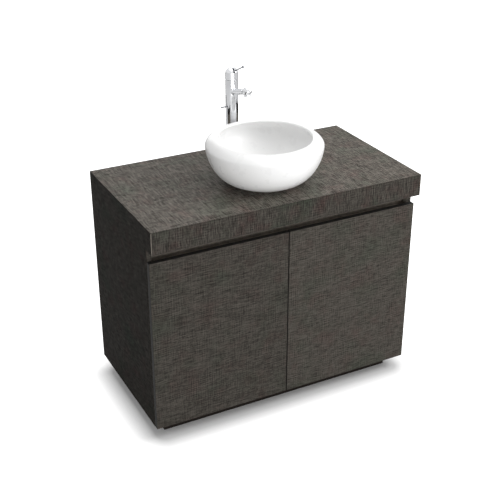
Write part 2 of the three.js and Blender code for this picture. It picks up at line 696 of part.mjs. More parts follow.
function addBasin() {
  const basin = groupAt(0, BASIN_Y, COUNTER_HEIGHT);
  const gasketInner = BASIN_FOOT_RADIUS - BASIN_FOOT_WIDTH;
  const gasket = ring(BASIN_FOOT_RADIUS - 1, gasketInner + 1, 0, GASKET_THICKNESS, ROUND_LARGE);
  add(basin, 'basin_bowl', basinBowl(), 'glazed_ceramic');
  add(basin, 'basin_gasket', gasket, 'clear_rubber');
  add(basin, 'waste_body', wasteBody(), 'chrome');
  add(basin, 'waste_plug', wastePlug(), 'chrome');
  const washerBottom = -BOARD - WASHER_THICKNESS;
  const overTail = TAIL_RADIUS + CLEARANCE;
  const washer = ring(TAIL_RADIUS + WASHER_WIDTH, overTail, washerBottom, -BOARD);
  add(basin, 'waste_washer', washer, 'black_rubber');
  const nutBottom = washerBottom - LOCKNUT_HEIGHT;
  const locknut = hexNut(2 * (TAIL_RADIUS + LOCKNUT_WALL), overTail, nutBottom, washerBottom);
  add(basin, 'waste_locknut', locknut, 'brass');
  add(basin, 'ball_rod', ballRod(), 'plated_steel');
  add(basin, 'ball_rod_nut', portNut(), 'chrome');
  addTrap(basin);
}

// ---------------------------------------------------------------- bottle trap

function trapBody() {
  const inside = TRAP_RADIUS - TRAP_WALL;
  const overTail = TAIL_RADIUS + CLEARANCE;
  const start = new THREE.Vector3(0, 0, TRAP_OUTLET_Z);
  const outer = turned([
    [0, TRAP_JOINT], [TRAP_RADIUS, TRAP_JOINT], [TRAP_RADIUS, TRAP_SHOULDER - TRAP_WALL],
    [TRAP_NECK_RADIUS, TRAP_SHOULDER], [TRAP_NECK_RADIUS, TRAP_NECK_TOP - CLEARANCE],
    [0, TRAP_NECK_TOP - CLEARANCE],
  ]);
  const port = aimed(cylinder(TRAP_PORT_RADIUS, 0, TRAP_PORT_LENGTH), start, ALONG_Y);
  const chamber = cylinder(inside, TRAP_JOINT - 1, TRAP_SHOULDER - 2 * TRAP_WALL);
  const throat = cylinder(overTail, TRAP_SHOULDER - 3 * TRAP_WALL, TRAP_NECK_TOP + 1);
  const portBore = cylinder(OUTLET_RADIUS + HOLE_CLEARANCE, 0, TRAP_PORT_LENGTH + 1);
  return cut(join(outer, port), chamber, throat, aimed(portBore, start, ALONG_Y));
}

// A union nut: a skirt over the threaded end, and a lip that closes on the inner tube.
function unionNut(skirtRadius, lipRadius, jointAt, length) {
  const skirt = skirtRadius + CLEARANCE;
  const lip = lipRadius + CLEARANCE;
  const outer = skirt + TRAP_NUT_WALL;
  const start = jointAt - length * 0.7;
  return turned([
    [skirt, start], [outer, start], [outer, start + length], [lip, start + length],
    [lip, jointAt], [skirt, jointAt], [skirt, start],
  ]);
}

function addTrap(basin) {
  const start = new THREE.Vector3(0, 0, TRAP_OUTLET_Z);
  const inside = TRAP_RADIUS - TRAP_WALL;
  const cupTop = TRAP_JOINT - CLEARANCE;
  add(basin, 'trap_body', trapBody(), 'white_plastic');
  const cup = turned([
    [0, TRAP_BOTTOM], [TRAP_RADIUS - 6, TRAP_BOTTOM], [TRAP_RADIUS, TRAP_BOTTOM + 6],
    [TRAP_RADIUS, cupTop], [inside, cupTop], [inside, TRAP_BOTTOM + 6 + TRAP_WALL],
    [0, TRAP_BOTTOM + TRAP_WALL],
  ]);
  add(basin, 'trap_cup', cup, 'white_plastic');
  const inletNut = unionNut(TRAP_NECK_RADIUS, TAIL_RADIUS, TRAP_NECK_TOP, TRAP_NUT_LENGTH);
  add(basin, 'trap_inlet_nut', inletNut, 'white_plastic');
  const portJoint = TRAP_PORT_LENGTH + CLEARANCE;
  const outletNut = unionNut(TRAP_PORT_RADIUS, OUTLET_RADIUS, portJoint, TRAP_NUT_LENGTH);
  add(basin, 'trap_outlet_nut', aimed(outletNut, start, ALONG_Y), 'white_plastic');
  const pipe = ring(OUTLET_RADIUS, OUTLET_RADIUS - OUTLET_WALL, TRAP_RADIUS + 1, BACK - BASIN_Y);
  add(basin, 'trap_outlet_pipe', aimed(pipe, start, ALONG_Y), 'white_plastic');
}

// ---------------------------------------------------------------- tap

const SPOUT_ANGLE = THREE.MathUtils.degToRad(SPOUT_RISE);
const SPOUT_DIRECTION = new THREE.Vector3(0, -Math.cos(SPOUT_ANGLE), Math.sin(SPOUT_ANGLE));
const SPOUT_ROOT = new THREE.Vector3(0, 0, SPOUT_AXIS_Z);

function spoutOutline(extra) {
  const head = SPOUT_HEAD_RADIUS + extra;
  return aimed(turned([
    [0, TAP_RADIUS / 2], [SPOUT_RADIUS + extra, TAP_RADIUS / 2],
    [SPOUT_RADIUS + extra, SPOUT_HEAD_START - 4], [head, SPOUT_HEAD_START + 2],
    [head, SPOUT_LENGTH - 11], [head - 2, SPOUT_LENGTH - 5.5], [head - 6, SPOUT_LENGTH - 1.5],
    [0, SPOUT_LENGTH],
  ]), SPOUT_ROOT, SPOUT_DIRECTION);
}

function tapSpout() {
  const column = cylinder(TAP_RADIUS + CLEARANCE, BODY_BOTTOM, TAP_BODY_TOP, ROUND_LARGE);
  return cut(spoutOutline(0), column);
}

function aerator() {
  const down = new THREE.Vector3(0, -Math.sin(SPOUT_ANGLE), -Math.cos(SPOUT_ANGLE));
  const along = SPOUT_LENGTH - AERATOR_FROM_TIP;
  const centre = SPOUT_ROOT.clone().addScaledVector(SPOUT_DIRECTION, along);
  const radius = SPOUT_HEAD_RADIUS - AERATOR_INSET;
  const barrel = aimed(cylinder(radius, 0, SPOUT_HEAD_RADIUS + AERATOR_REACH), centre, down);
  return cut(barrel, spoutOutline(CLEARANCE));
}

// The slot in the body's left side lets the lift pin travel up and down.
function tapBody() {
  const shell = ring(TAP_RADIUS, TAP_BORE, BODY_BOTTOM, TAP_BODY_TOP, ROUND_LARGE);
  const slotHalf = LIFT_PIN_RADIUS + 2 * CLEARANCE;
  const slot = block(
    [-TAP_RADIUS - 1, 1 - TAP_BORE],
    [LIFT_ROD_Y - slotHalf, LIFT_ROD_Y + slotHalf],
    [LIFT_PIN_Z - slotHalf, LIFT_PIN_Z + LIFT_TRAVEL + slotHalf],
  );
  return cut(shell, slot);
}

const PIVOT = new THREE.Vector3(0, 0, CAP_SHOULDER);

// A slot from front to top lets the lever pin tilt between closed and fully open.
function leverCap() {
  const dome = [];
  for (let i = 0; i <= 7; i += 1) {
    const angle = (i / 7) * Math.PI / 2;
    dome.push([TAP_RADIUS * Math.cos(angle), CAP_SHOULDER + (CAP_TOP - CAP_SHOULDER) * Math.sin(angle)]);
  }
  dome[7][0] = 0;
  const cap = turned([
    [CAP_BORE, CAP_BOTTOM], [TAP_RADIUS, CAP_BOTTOM], ...dome,
    [0, CAP_TOP - CAP_ROOF], [CAP_BORE * 0.6, CAP_TOP - CAP_ROOF - 1],
    [CAP_BORE, CAP_TOP - 2 * CAP_ROOF], [CAP_BORE, CAP_BOTTOM],
  ], ROUND_LARGE);
  const half = LEVER_RADIUS + CLEARANCE;
  const margin = Math.asin((half + CLEARANCE) / CAP_BORE);
  const low = THREE.MathUtils.degToRad(LEVER_RISE) - margin;
  const high = THREE.MathUtils.degToRad(LEVER_RISE + LEVER_TILT) + margin;
  const reach = TAP_RADIUS * 2;
  const start = CAP_BORE * 0.5;
  const at = (angle, radius) => [-radius * Math.cos(angle), CAP_SHOULDER + radius * Math.sin(angle)];
  const sector = [at(low, start), at(high, start), at(high, reach), at(low, reach)];
  const slot = loft(sector, -half, sector, half, (y, z, x) => [x, y, z]);
  return cut(cap, slot);
}

function leverPin() {
  const angle = THREE.MathUtils.degToRad(LEVER_RISE);
  const direction = new THREE.Vector3(0, -Math.cos(angle), Math.sin(angle));
  const pin = aimed(cylinder(LEVER_RADIUS, 0, LEVER_LENGTH, ROUND_SMALL), PIVOT, direction);
  const tip = PIVOT.clone().addScaledVector(direction, LEVER_LENGTH);
  const ball = new THREE.SphereGeometry(LEVER_BALL_RADIUS, ROUND_SMALL, 10).translate(tip.x, tip.y, tip.z);
  const hubBarrel = cylinder(LEVER_HUB_RADIUS, -LEVER_HUB_RADIUS, LEVER_HUB_RADIUS, ROUND_SMALL);
  const hub = aimed(hubBarrel, PIVOT, ALONG_X);
  const halfAxle = CAP_BORE - CLEARANCE;
  const axle = aimed(cylinder(1.5, -halfAxle, halfAxle, ROUND_SMALL), PIVOT, ALONG_X);
  return join(pin, ball, hub, axle);
}

function addTap() {
  const tap = groupAt(0, TAP_Y, COUNTER_HEIGHT);
  const holes = (bottom, top) => [
    cylinder(STUD_RADIUS + CLEARANCE, bottom, top, ROUND_SMALL).translate(0, STUD_Y, 0),
    cylinder(LIFT_ROD_RADIUS + HOLE_CLEARANCE, bottom, top, ROUND_SMALL).translate(0, LIFT_ROD_Y, 0),
    ...SIDES.map(([, side]) => {
      const inletHole = cylinder(INLET_RADIUS + CLEARANCE, bottom, top, ROUND_SMALL);
      return inletHole.translate(side * INLET_X, INLET_Y, 0);
    }),
  ];
  const base = cylinder(TAP_RADIUS + TAP_BASE_RIM, 0, TAP_BASE_HEIGHT, ROUND_LARGE);
  add(tap, 'tap_base', cut(base, ...holes(-1, TAP_BASE_HEIGHT + 1)), 'chrome');
  add(tap, 'tap_body', tapBody(), 'chrome');
  add(tap, 'tap_spout', tapSpout(), 'chrome');
  add(tap, 'aerator', aerator(), 'chrome');
  add(tap, 'lever_cap', leverCap(), 'chrome');
  add(tap, 'lever_pin', leverPin(), 'chrome');
  const cartridge = turned([
    [0, CARTRIDGE_BOTTOM], [TAP_BORE - CLEARANCE, CARTRIDGE_BOTTOM],
    [TAP_BORE - CLEARANCE, CARTRIDGE_TOP], [CARTRIDGE_NECK_RADIUS, CARTRIDGE_TOP],
    [CARTRIDGE_NECK_RADIUS, CARTRIDGE_NECK_TOP], [0, CARTRIDGE_NECK_TOP],
  ]);
  add(tap, 'cartridge', cartridge, 'white_plastic');
  addTapFixing(tap, holes);
  addLift(tap);
}

function addTapFixing(tap, holes) {
  const clampBottom = -BOARD - CLAMP_THICKNESS;
  const clamp = cylinder(CLAMP_RADIUS, clampBottom, -BOARD);
  add(tap, 'tap_clamp_plate', cut(clamp, ...holes(clampBottom - 1, 1 - BOARD)), 'plated_steel');
  const stud = cylinder(STUD_RADIUS, STUD_BOTTOM, STUD_TOP, ROUND_SMALL).translate(0, STUD_Y, 0);
  add(tap, 'tap_stud', stud, 'brass');
  const nut = hexNut(STUD_NUT_FLATS, STUD_RADIUS + CLEARANCE, clampBottom - STUD_NUT_HEIGHT, clampBottom);
  add(tap, 'tap_locknut', nut.translate(0, STUD_Y, 0), 'brass');
  for (const [name, side] of [['hot', -1], ['cold', 1]]) {
    const inlet = ring(INLET_RADIUS, INLET_RADIUS - INLET_WALL, INLET_BOTTOM, INLET_TOP, ROUND_SMALL);
    add(tap, `${name}_inlet`, inlet.translate(side * INLET_X, INLET_Y, 0), 'plated_steel');
  }
}

// The lift pin, its rod and the perforated strap rise together and swing the ball rod.
function addLift(tap) {
  const pinStart = new THREE.Vector3(0, LIFT_ROD_Y, LIFT_PIN_Z);
  const pinRoot = LIFT_ROD_RADIUS + CLEARANCE;
  const pin = cylinder(LIFT_PIN_RADIUS, -TAP_RADIUS - LIFT_PIN_OUT, -pinRoot, ROUND_SMALL);
  add(tap, 'lift_pin', aimed(pin, pinStart, ALONG_X), 'plated_steel');
  const rodTop = LIFT_PIN_Z + LIFT_PIN_RADIUS;
  const rod = cylinder(LIFT_ROD_RADIUS, LIFT_ROD_BOTTOM, rodTop, ROUND_SMALL).translate(0, LIFT_ROD_Y, 0);
  add(tap, 'lift_rod', rod, 'plated_steel');
  const strapBottom = BALL_ROD_Z - STRAP_BELOW_ROD;
  const strap = block(
    [-STRAP_WIDTH / 2, STRAP_WIDTH / 2],
    [STRAP_FRONT, STRAP_FRONT + STRAP_THICKNESS],
    [strapBottom, strapBottom + STRAP_HEIGHT],
  );
  const hole = cylinder(STRAP_HOLE_RADIUS, 0, STRAP_THICKNESS * 4, ROUND_SMALL);
  aimed(hole, new THREE.Vector3(0, STRAP_FRONT - STRAP_THICKNESS, BALL_ROD_Z), ALONG_Y);
  add(tap, 'linkage_strap', cut(strap, hole), 'plated_steel');
}

addCabinet();
for (const [name, side] of SIDES) addDoor(name, side);
addBasin();
addTap();

export default vanity;
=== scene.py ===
"""Looks of the vessel sink on its vanity cabinet: fine meshes, materials, lights and camera.

Lengths are in millimetres until a mesh is made; meshes, lights and the camera are in metres.
"""

import json
import math

import bmesh
import bpy
from mathutils import Matrix, Vector


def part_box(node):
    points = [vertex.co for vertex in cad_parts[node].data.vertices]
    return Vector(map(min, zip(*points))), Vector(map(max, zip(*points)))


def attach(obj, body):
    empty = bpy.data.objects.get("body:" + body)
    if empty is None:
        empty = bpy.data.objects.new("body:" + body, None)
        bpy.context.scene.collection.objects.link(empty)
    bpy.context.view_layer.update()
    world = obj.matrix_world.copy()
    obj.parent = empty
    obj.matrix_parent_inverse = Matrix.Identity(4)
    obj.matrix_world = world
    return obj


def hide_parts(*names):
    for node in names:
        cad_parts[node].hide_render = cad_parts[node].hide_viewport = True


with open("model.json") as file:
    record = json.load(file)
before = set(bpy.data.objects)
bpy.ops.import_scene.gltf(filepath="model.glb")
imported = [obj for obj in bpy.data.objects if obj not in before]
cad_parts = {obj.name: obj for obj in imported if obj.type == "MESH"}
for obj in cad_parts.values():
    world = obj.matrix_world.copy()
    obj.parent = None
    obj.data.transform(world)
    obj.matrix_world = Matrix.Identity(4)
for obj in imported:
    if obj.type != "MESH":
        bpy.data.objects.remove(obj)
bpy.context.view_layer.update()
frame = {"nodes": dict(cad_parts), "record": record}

MM = 0.001
BEHAVIOUR = frame["record"]["behaviour"]
BODY_OF = {node: body for body, nodes in BEHAVIOUR["bodies"].items() for node in nodes}
SIDES = {"left": -1, "right": 1}
LEVELS = ("lower", "upper")


# ------------------------------------------------------------------ places from the frame


def box_mm(node):
    low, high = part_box(node)
    return low / MM, high / MM


class Round:
    """Centre, radius and ends of a CAD node that stands upright and is round in plan."""

    def __init__(self, node):
        low, high = box_mm(node)
        self.centre = Vector(((low.x + high.x) / 2, (low.y + high.y) / 2, 0))
        self.radius = (high.x - low.x) / 2
        self.bottom, self.top = low.z, high.z


# ------------------------------------------------------------------ materials


def srgb(red, green, blue):
    def linear(value):
        share = value / 255
        return share / 12.92 if share <= 0.04045 else ((share + 0.055) / 1.055) ** 2.4

    return (linear(red), linear(green), linear(blue), 1.0)


class Graph:
    """A material's node tree with short calls for the few node kinds that are used here."""

    def __init__(self, name):
        self.material = bpy.data.materials.new(name)
        self.material.use_nodes = True
        self.tree = self.material.node_tree
        self.shader = self.tree.nodes["Principled BSDF"]

    def plug(self, socket, value):
        if isinstance(value, bpy.types.NodeSocket):
            self.tree.links.new(value, socket)
        else:
            socket.default_value = value

    def node(self, kind, inputs=None, **settings):
        node = self.tree.nodes.new(kind)
        for key, value in settings.items():
            setattr(node, key, value)
        for key, value in (inputs or {}).items():
            self.plug(node.inputs[key], value)
        return node

    def set(self, **values):
        for key, value in values.items():
            self.plug(self.shader.inputs[key.replace("_", " ")], value)

    def place(self):
        return self.node("ShaderNodeTexCoord").outputs["Object"]

    def math(self, operation, first, second=0.0):
        return self.node("ShaderNodeMath", {0: first, 1: second}, operation=operation).outputs[0]

    def scaled(self, vector, scale):
        inputs = {"Vector": vector, "Scale": scale}
        return self.node("ShaderNodeMapping", inputs).outputs[0]

    def noise(self, vector, scale=1.0, detail=3.0, roughness=0.55):
        inputs = {"Vector": vector, "Scale": scale, "Detail": detail, "Roughness": roughness}
        return self.node("ShaderNodeTexNoise", inputs).outputs["Fac"]

    def between(self, value, low, high, new_low=0.0, new_high=1.0):
        inputs = {
            "Value": value, "From Min": low, "From Max": high, "To Min": new_low, "To Max": new_high,
        }
        return self.node("ShaderNodeMapRange", inputs).outputs[0]

    def mix(self, share, first, second):
        node = self.node("ShaderNodeMix", data_type="RGBA")
        self.plug(node.inputs[0], share)
        self.plug(node.inputs[6], first)
        self.plug(node.inputs[7], second)
        return node.outputs[2]

    def bump(self, height, distance, strength=1.0):
        inputs = {"Height": height, "Distance": distance, "Strength": strength}
        self.plug(self.shader.inputs["Normal"], self.node("ShaderNodeBump", inputs).outputs[0])


LINEN_DARK = (52, 49, 45)
LINEN_PALE = (124, 118, 110)
LINEN_ROSE = (122, 99, 94)
LINEN_MOSS = (98, 109, 94)


def linen_threads(graph, a, b, flat, lengthwise, crosswise):
    """Brightness of the woven print: slubs, single threads, flecks and thicker yarns."""
    # slubs are long broken streaks in both directions, several threads wide
    long_slub = graph.noise(graph.scaled(flat, (32, 320, 1)), detail=4, roughness=0.75)
    cross_slub = graph.noise(graph.scaled(flat, (290, 32, 1)), detail=4, roughness=0.75)
    # single threads, about 1.4 mm apart, that wander a little
    wander = graph.noise(graph.scaled(flat, (30, 30, 1)), detail=2)
    warp_phase = graph.math("ADD", graph.math("MULTIPLY", b, 4488.0), graph.math("MULTIPLY", wander, 26.0))
    weft_phase = graph.math("ADD", graph.math("MULTIPLY", a, 4027.0), graph.math("MULTIPLY", wander, 22.0))
    warp = graph.between(graph.math("SINE", warp_phase), -1, 1)
    weft = graph.between(graph.math("SINE", weft_phase), -1, 1)
    fleck = graph.noise(graph.scaled(flat, (260, 620, 1)), detail=2)

    # thicker yarns about 7 mm apart show here and there in both directions
    yarn_mask = graph.between(graph.noise(graph.scaled(flat, (24, 24, 1)), detail=2), 0.4, 0.65)
    thick_warp = graph.math("SINE", graph.math("MULTIPLY", warp_phase, 0.2))
    thick_weft = graph.math("SINE", graph.math("MULTIPLY", weft_phase, 0.2))
    yarns = graph.math("MULTIPLY", graph.math("ADD", thick_warp, thick_weft), yarn_mask)

    lengthwise_part = graph.math("MULTIPLY", long_slub, lengthwise)
    crosswise_part = graph.math("MULTIPLY", cross_slub, crosswise)
    threads = graph.math("ADD", lengthwise_part, crosswise_part)
    threads = graph.math("ADD", threads, graph.math("MULTIPLY", yarns, 0.045))
    weave = graph.math("ADD", graph.math("MULTIPLY", warp, 0.12), graph.math("MULTIPLY", weft, 0.08))
    weave = graph.math("ADD", weave, graph.math("MULTIPLY", fleck, 0.25))
    return graph.math("ADD", threads, weave)


def linen_colour(graph, flat, light, tone, tint):
    """Colour of the print, with patches a hand wide that lean to pink, green or olive."""
    patch = graph.noise(flat, scale=17.0, detail=3)
    drift = graph.noise(graph.scaled(flat, (9, 9, 4)), detail=2)
    dark, pale, rose, moss = [
        [value * tone for value in srgb(*colour)[:3]] + [1.0]
        for colour in (LINEN_DARK, LINEN_PALE, LINEN_ROSE, LINEN_MOSS)
    ]
    warm = graph.mix(graph.between(patch, 0.50, 0.72, 0.0, tint), pale, rose)
    tinted = graph.mix(graph.between(drift, 0.50, 0.74, 0.0, tint), warm, moss)
    return graph.mix(light, dark, tinted)


def linen(
    name, along, across, tone, seed,
    lengthwise=0.95, crosswise=0.6, spread=0.25, tint=0.6, gloss=0.06,
):
    """Woven-linen print laminate. Long threads run along one axis, short ones across it.

    tone scales the brightness of the print and paints each panel lighter or darker for the light that falls
    on its side, and seed shifts the print so that panels differ.
    lengthwise and crosswise weigh the two directions, spread softens the contrast,
    tint is the strength of the coloured patches, and gloss is the specular level.
    """
    graph = Graph(name)
    axes = graph.node("ShaderNodeSeparateXYZ", {0: graph.place()}).outputs
    a, b = axes[along], axes[across]
    flat = graph.node("ShaderNodeCombineXYZ", {0: a, 1: b, 2: seed}).outputs[0]
    level = linen_threads(graph, a, b, flat, lengthwise, crosswise)
    middle = (lengthwise + crosswise) / 2 + 0.225
    light = graph.between(level, middle - spread, middle + spread)
    graph.set(Base_Color=linen_colour(graph, flat, light, tone, tint))
    graph.set(Roughness=graph.between(light, 0.0, 1.0, 0.64, 0.52), Specular_IOR_Level=gloss)
    graph.bump(level, 0.00022, 0.6)
    return graph.material


def plain_board(name, colour, other):
    """Melamine-faced board: a fine pebbled print with a faint cloudiness."""
    graph = Graph(name)
    place = graph.place()
    cloud = graph.noise(place, scale=14.0, detail=3)
    pebble = graph.noise(place, scale=1100.0, detail=2)
    graph.set(Base_Color=graph.mix(graph.between(cloud, 0.35, 0.65), colour, other))
    graph.set(Roughness=graph.between(pebble, 0.3, 0.7, 0.55, 0.7), Specular_IOR_Level=0.3)
    graph.bump(pebble, 0.00012, 0.5)
    return graph.material


def glaze(name):
    """White vitreous glaze: glossy, very slightly wavy, a touch warmer where it pools."""
    graph = Graph(name)
    place = graph.place()
    pool = graph.noise(place, scale=7.0, detail=2)
    wave = graph.noise(place, scale=26.0, detail=2)
    graph.set(Base_Color=graph.mix(pool, srgb(247, 247, 246), srgb(244, 244, 244)))
    graph.set(Roughness=graph.between(wave, 0.3, 0.7, 0.26, 0.34), Specular_IOR_Level=0.35)
    graph.set(Coat_Weight=0.1, Coat_Roughness=0.1)
    graph.bump(wave, 0.0003, 0.1)
    return graph.material


def polished(name, colour, rough_low, rough_high, grain=(60, 60, 60), depth=0.00002):
    """Plated or turned metal: its roughness varies along a grain, with faint wipe marks."""
    graph = Graph(name)
    place = graph.place()
    marks = graph.noise(graph.scaled(place, grain), detail=4)
    haze = graph.noise(place, scale=45.0, detail=2)
    shade = [value * 0.9 for value in colour[:3]] + [1.0]
    graph.set(Base_Color=graph.mix(graph.between(haze, 0.4, 0.7, 0.0, 0.5), colour, shade))
    graph.set(Roughness=graph.between(marks, 0.3, 0.7, rough_low, rough_high), Metallic=1.0)
    graph.bump(marks, depth, 0.4)
    return graph.material


def moulded(name, colour, other, roughness, grain_scale, depth):
    """Moulded plastic or rubber with a fine skin texture."""
    graph = Graph(name)
    place = graph.place()
    skin = graph.noise(place, scale=grain_scale, detail=3)
    tint = graph.noise(place, scale=22.0, detail=2)
    graph.set(Base_Color=graph.mix(graph.between(tint, 0.35, 0.65), colour, other))
    graph.set(Roughness=graph.between(skin, 0.3, 0.7, roughness - 0.06, roughness + 0.06))
    graph.bump(skin, depth, 0.5)
    return graph.material


# print -> axis the long threads run along, axis across them, and how the print looks
LINENS = {
    # the top's print is painted lighter than the doors', as painted light from above
    "linen_top_painted_light": ("Y", "X", {"tone": 0.89, "seed": 0.3, "crosswise": 0.7, "spread": 0.125}),
    "linen_apron": (
        "Z", "X",
        {"tone": 0.4, "seed": 0.9, "lengthwise": 1.0, "crosswise": 0.4, "spread": 0.15, "tint": 0.95},
    ),
    # the left door's print is a little darker than the right door's
    "linen_door_left": (
        "X", "Z", {"tone": 0.42, "seed": 1.4, "crosswise": 0.5, "spread": 0.2, "tint": 0.5},
    ),
    "linen_door_right": (
        "X", "Z", {"tone": 0.5, "seed": 2.2, "crosswise": 0.5, "spread": 0.2, "tint": 0.5},
    ),
    # the sides' print, also used on the plinths, is painted far darker as painted shade
    "linen_side_painted_shade": ("Y", "Z", {"tone": 0.17, "seed": 3.1, "spread": 0.13, "tint": 1.0, "gloss": 0.02}),
    # a paler copy of the sides' print for their inner faces, as painted light in the shaded groove
    "linen_inside_painted_light": ("Y", "Z", {"tone": 1.5, "seed": 6.3, "spread": 0.9, "tint": 0.4}),
    # the groove's print is painted much lighter, as painted light where the recess is in shadow
    "linen_groove_painted_light": ("X", "Y", {"tone": 1.8, "seed": 4.4, "spread": 0.9, "tint": 0.2}),
    # a pale copy of the print as a painted highlight along the eased nose edges
    "painted_edge_highlight": ("Z", "X", {"tone": 2.6, "seed": 5.2, "spread": 0.6, "tint": 0.2}),
}
# board -> its colour and the colour it clouds into
BOARDS = {
    # near-black board as painted shade on the doors' top and side edges, where the gaps are in shadow
    "painted_gap_shade": (srgb(26, 25, 24), srgb(20, 19, 18)),
    "dark_board": (srgb(84, 79, 73), srgb(75, 71, 66)),
}
# metal -> colour, lowest and highest roughness, and, where it is brushed, grain and depth
METALS = {
    "chrome": ((0.83, 0.84, 0.86, 1.0), 0.03, 0.08),
    # chrome darkened for the lever and lift pin, as a painted dark reflection
    "chrome_painted_dark": ((0.30, 0.31, 0.33, 1.0), 0.10, 0.18),
    "plated_steel": ((0.60, 0.61, 0.63, 1.0), 0.22, 0.38, (40, 40, 900), 0.00004),
    "brass": ((0.69, 0.50, 0.22, 1.0), 0.18, 0.34, (900, 900, 40), 0.00004),
}
# moulding -> colour, other colour, roughness, scale of its skin and depth of it
MOULDINGS = {
    "white_plastic": (srgb(226, 226, 223), srgb(219, 220, 218), 0.36, 900.0, 0.00008),
    "black_rubber": (srgb(30, 30, 30), srgb(38, 37, 36), 0.78, 700.0, 0.00015),
    "clear_rubber": (srgb(196, 196, 190), srgb(184, 185, 180), 0.42, 500.0, 0.00008),
}
MATERIALS = {
    **{name: linen(name, along, across, **look) for name, (along, across, look) in LINENS.items()},
    **{name: plain_board(name, *colours) for name, colours in BOARDS.items()},
    "glazed_ceramic": glaze("glazed_ceramic"),
    **{name: polished(name, *look) for name, look in METALS.items()},
    **{name: moulded(name, *look) for name, look in MOULDINGS.items()},
}


# ------------------------------------------------------------------ mesh helpers


def width(face):
    """Mean width of a face across its longest side."""
    return face.calc_area() / max(edge.calc_length() for edge in face.edges)


def to_object(name, bm, material, node=None, body=None, soften=35.0, flat_over=None, others=()):
    """Make a named piece from a mesh in millimetres, ride it on its body and hide the CAD node it stands
    for.

    Faces wider than flat_over are shaded flat, so only the eased edges between them are soft.
    others are the materials of the faces whose material index is 1 or more.
    """
    bmesh.ops.recalc_face_normals(bm, faces=bm.faces)
    limit = math.radians(soften)
    for edge in bm.edges:
        edge.smooth = len(edge.link_faces) == 2 and edge.calc_face_angle(0.0) < limit
    for face in bm.faces:
        face.smooth = flat_over is None or width(face) < flat_over
    bmesh.ops.scale(bm, vec=(MM, MM, MM), verts=bm.verts)
    mesh = bpy.data.meshes.new(name)
    bm.to_mesh(mesh)
    bm.free()
    piece = bpy.data.objects.new(name, mesh)
    bpy.context.scene.collection.objects.link(piece)
    for surface in (material, *others):
        mesh.materials.append(MATERIALS[surface])
    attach(piece, body or BODY_OF[node])
    if node:
        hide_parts(node)
    return piece


def rounded(points, radius, steps=3, closed=False):
    """A profile with its corners turned into arcs, no larger than its sides allow."""
    count = len(points)
    result = []
    for i, point in enumerate(points):
        if not closed and i in (0, count - 1):
            result.append(point)
            continue
        corner = Vector(point)
        before = Vector(points[i - 1]) - corner
        after = Vector(points[(i + 1) % count]) - corner
        reach = min(radius, before.length * 0.45, after.length * 0.45)
        if before.length < 1e-9 or after.length < 1e-9 or before.angle(after) > math.radians(165):
            result.append(point)
            continue
        start = corner + before.normalized() * reach
        end = corner + after.normalized() * reach
        for step in range(steps + 1):
            t = step / steps
            result.append(tuple(start * (1 - t) ** 2 + corner * (2 * t * (1 - t)) + end * t ** 2))
    return result


def turned(profile, segments=96, closed=False, flutes=0, flute_depth=0.0, fluted=lambda z: False):
    """A mesh turned about Z from (radius, height) points; flutes are ribs down its side."""
    bm = bmesh.new()
    columns = []
    for i in range(segments):
        angle = 2 * math.pi * i / segments
        column = []
        for radius, height in profile:
            if radius < 1e-6:
                column.append(None)
                continue
            swell = flute_depth * math.cos(flutes * angle) if flutes and fluted(height) else 0.0
            reach = radius + swell
            column.append(bm.verts.new((reach * math.cos(angle), reach * math.sin(angle), height)))
        columns.append(column)
    poles = {
        k: bm.verts.new((0, 0, height)) for k, (radius, height) in enumerate(profile) if radius < 1e-6
    }
    count = len(profile)
    for i in range(segments):
        here, there = columns[i], columns[(i + 1) % segments]
        for k in range(count if closed else count - 1):
            n = (k + 1) % count
            corners = [here[k] or poles[k], there[k] or poles[k], there[n] or poles[n], here[n] or poles[n]]
            distinct = list(dict.fromkeys(corners))
            if len(distinct) > 2:
                bm.faces.new(distinct)
    return bm


def moved(bm, offset, direction=None):
    """Aim a mesh made along Z along a direction, then move it."""
    if direction is not None:
        turn = Vector((0, 0, 1)).rotation_difference(Vector(direction)).to_matrix()
        bmesh.ops.rotate(bm, cent=(0, 0, 0), matrix=turn, verts=bm.verts)
    bmesh.ops.translate(bm, vec=offset, verts=bm.verts)
    return bm


def cylinder(radius, bottom, top, segments=64, edge=0.4):
    profile = [(0, bottom), (radius, bottom), (radius, top), (0, top)]
    return turned(rounded(profile, edge), segments)


def ring(outer, inner, bottom, top, segments=96, edge=0.4):
    profile = [(inner, bottom), (outer, bottom), (outer, top), (inner, top)]
    return turned(rounded(profile, edge, closed=True), segments, closed=True)


def joined(*meshes):
    """One mesh that holds several, as separate shells."""
    total = meshes[0]
    for other in meshes[1:]:
        part = bpy.data.meshes.new("part")
        other.to_mesh(part)
        other.free()
        total.from_mesh(part)
        bpy.data.meshes.remove(part)
    return total


def combined(operation, first, *others):
    """Boolean of meshes: UNION or DIFFERENCE."""
    def as_object(bm):
        bmesh.ops.recalc_face_normals(bm, faces=bm.faces)
        mesh = bpy.data.meshes.new("part")
        bm.to_mesh(mesh)
        bm.free()
        part = bpy.data.objects.new("part", mesh)
        bpy.context.scene.collection.objects.link(part)
        return part

    base = as_object(first)
    tools = [as_object(other) for other in others]
    for tool in tools:
        modifier = base.modifiers.new("cut", "BOOLEAN")
        modifier.operation = operation
        modifier.solver = "EXACT"
        modifier.object = tool
    bpy.context.view_layer.update()
    graph = bpy.context.evaluated_depsgraph_get()
    result = bmesh.new()
    result.from_object(base, graph)
    for part in [base, *tools]:
        mesh = part.data
        bpy.data.objects.remove(part)
        bpy.data.meshes.remove(mesh)
    bmesh.ops.remove_doubles(result, verts=result.verts, dist=1e-4)
    bmesh.ops.dissolve_degenerate(result, edges=result.edges, dist=1e-4)
    return result


def block(low, high, bevel=0.5, segments=2):
    bm = bmesh.new()
    bmesh.ops.create_cube(bm, size=1.0)
    for vert in bm.verts:
        vert.co = Vector([high[k] if vert.co[k] > 0 else low[k] for k in range(3)])
    if bevel:
        bmesh.ops.bevel(bm, geom=bm.edges[:], offset=bevel, segments=segments, affect="EDGES", profile=0.5)
    return bm


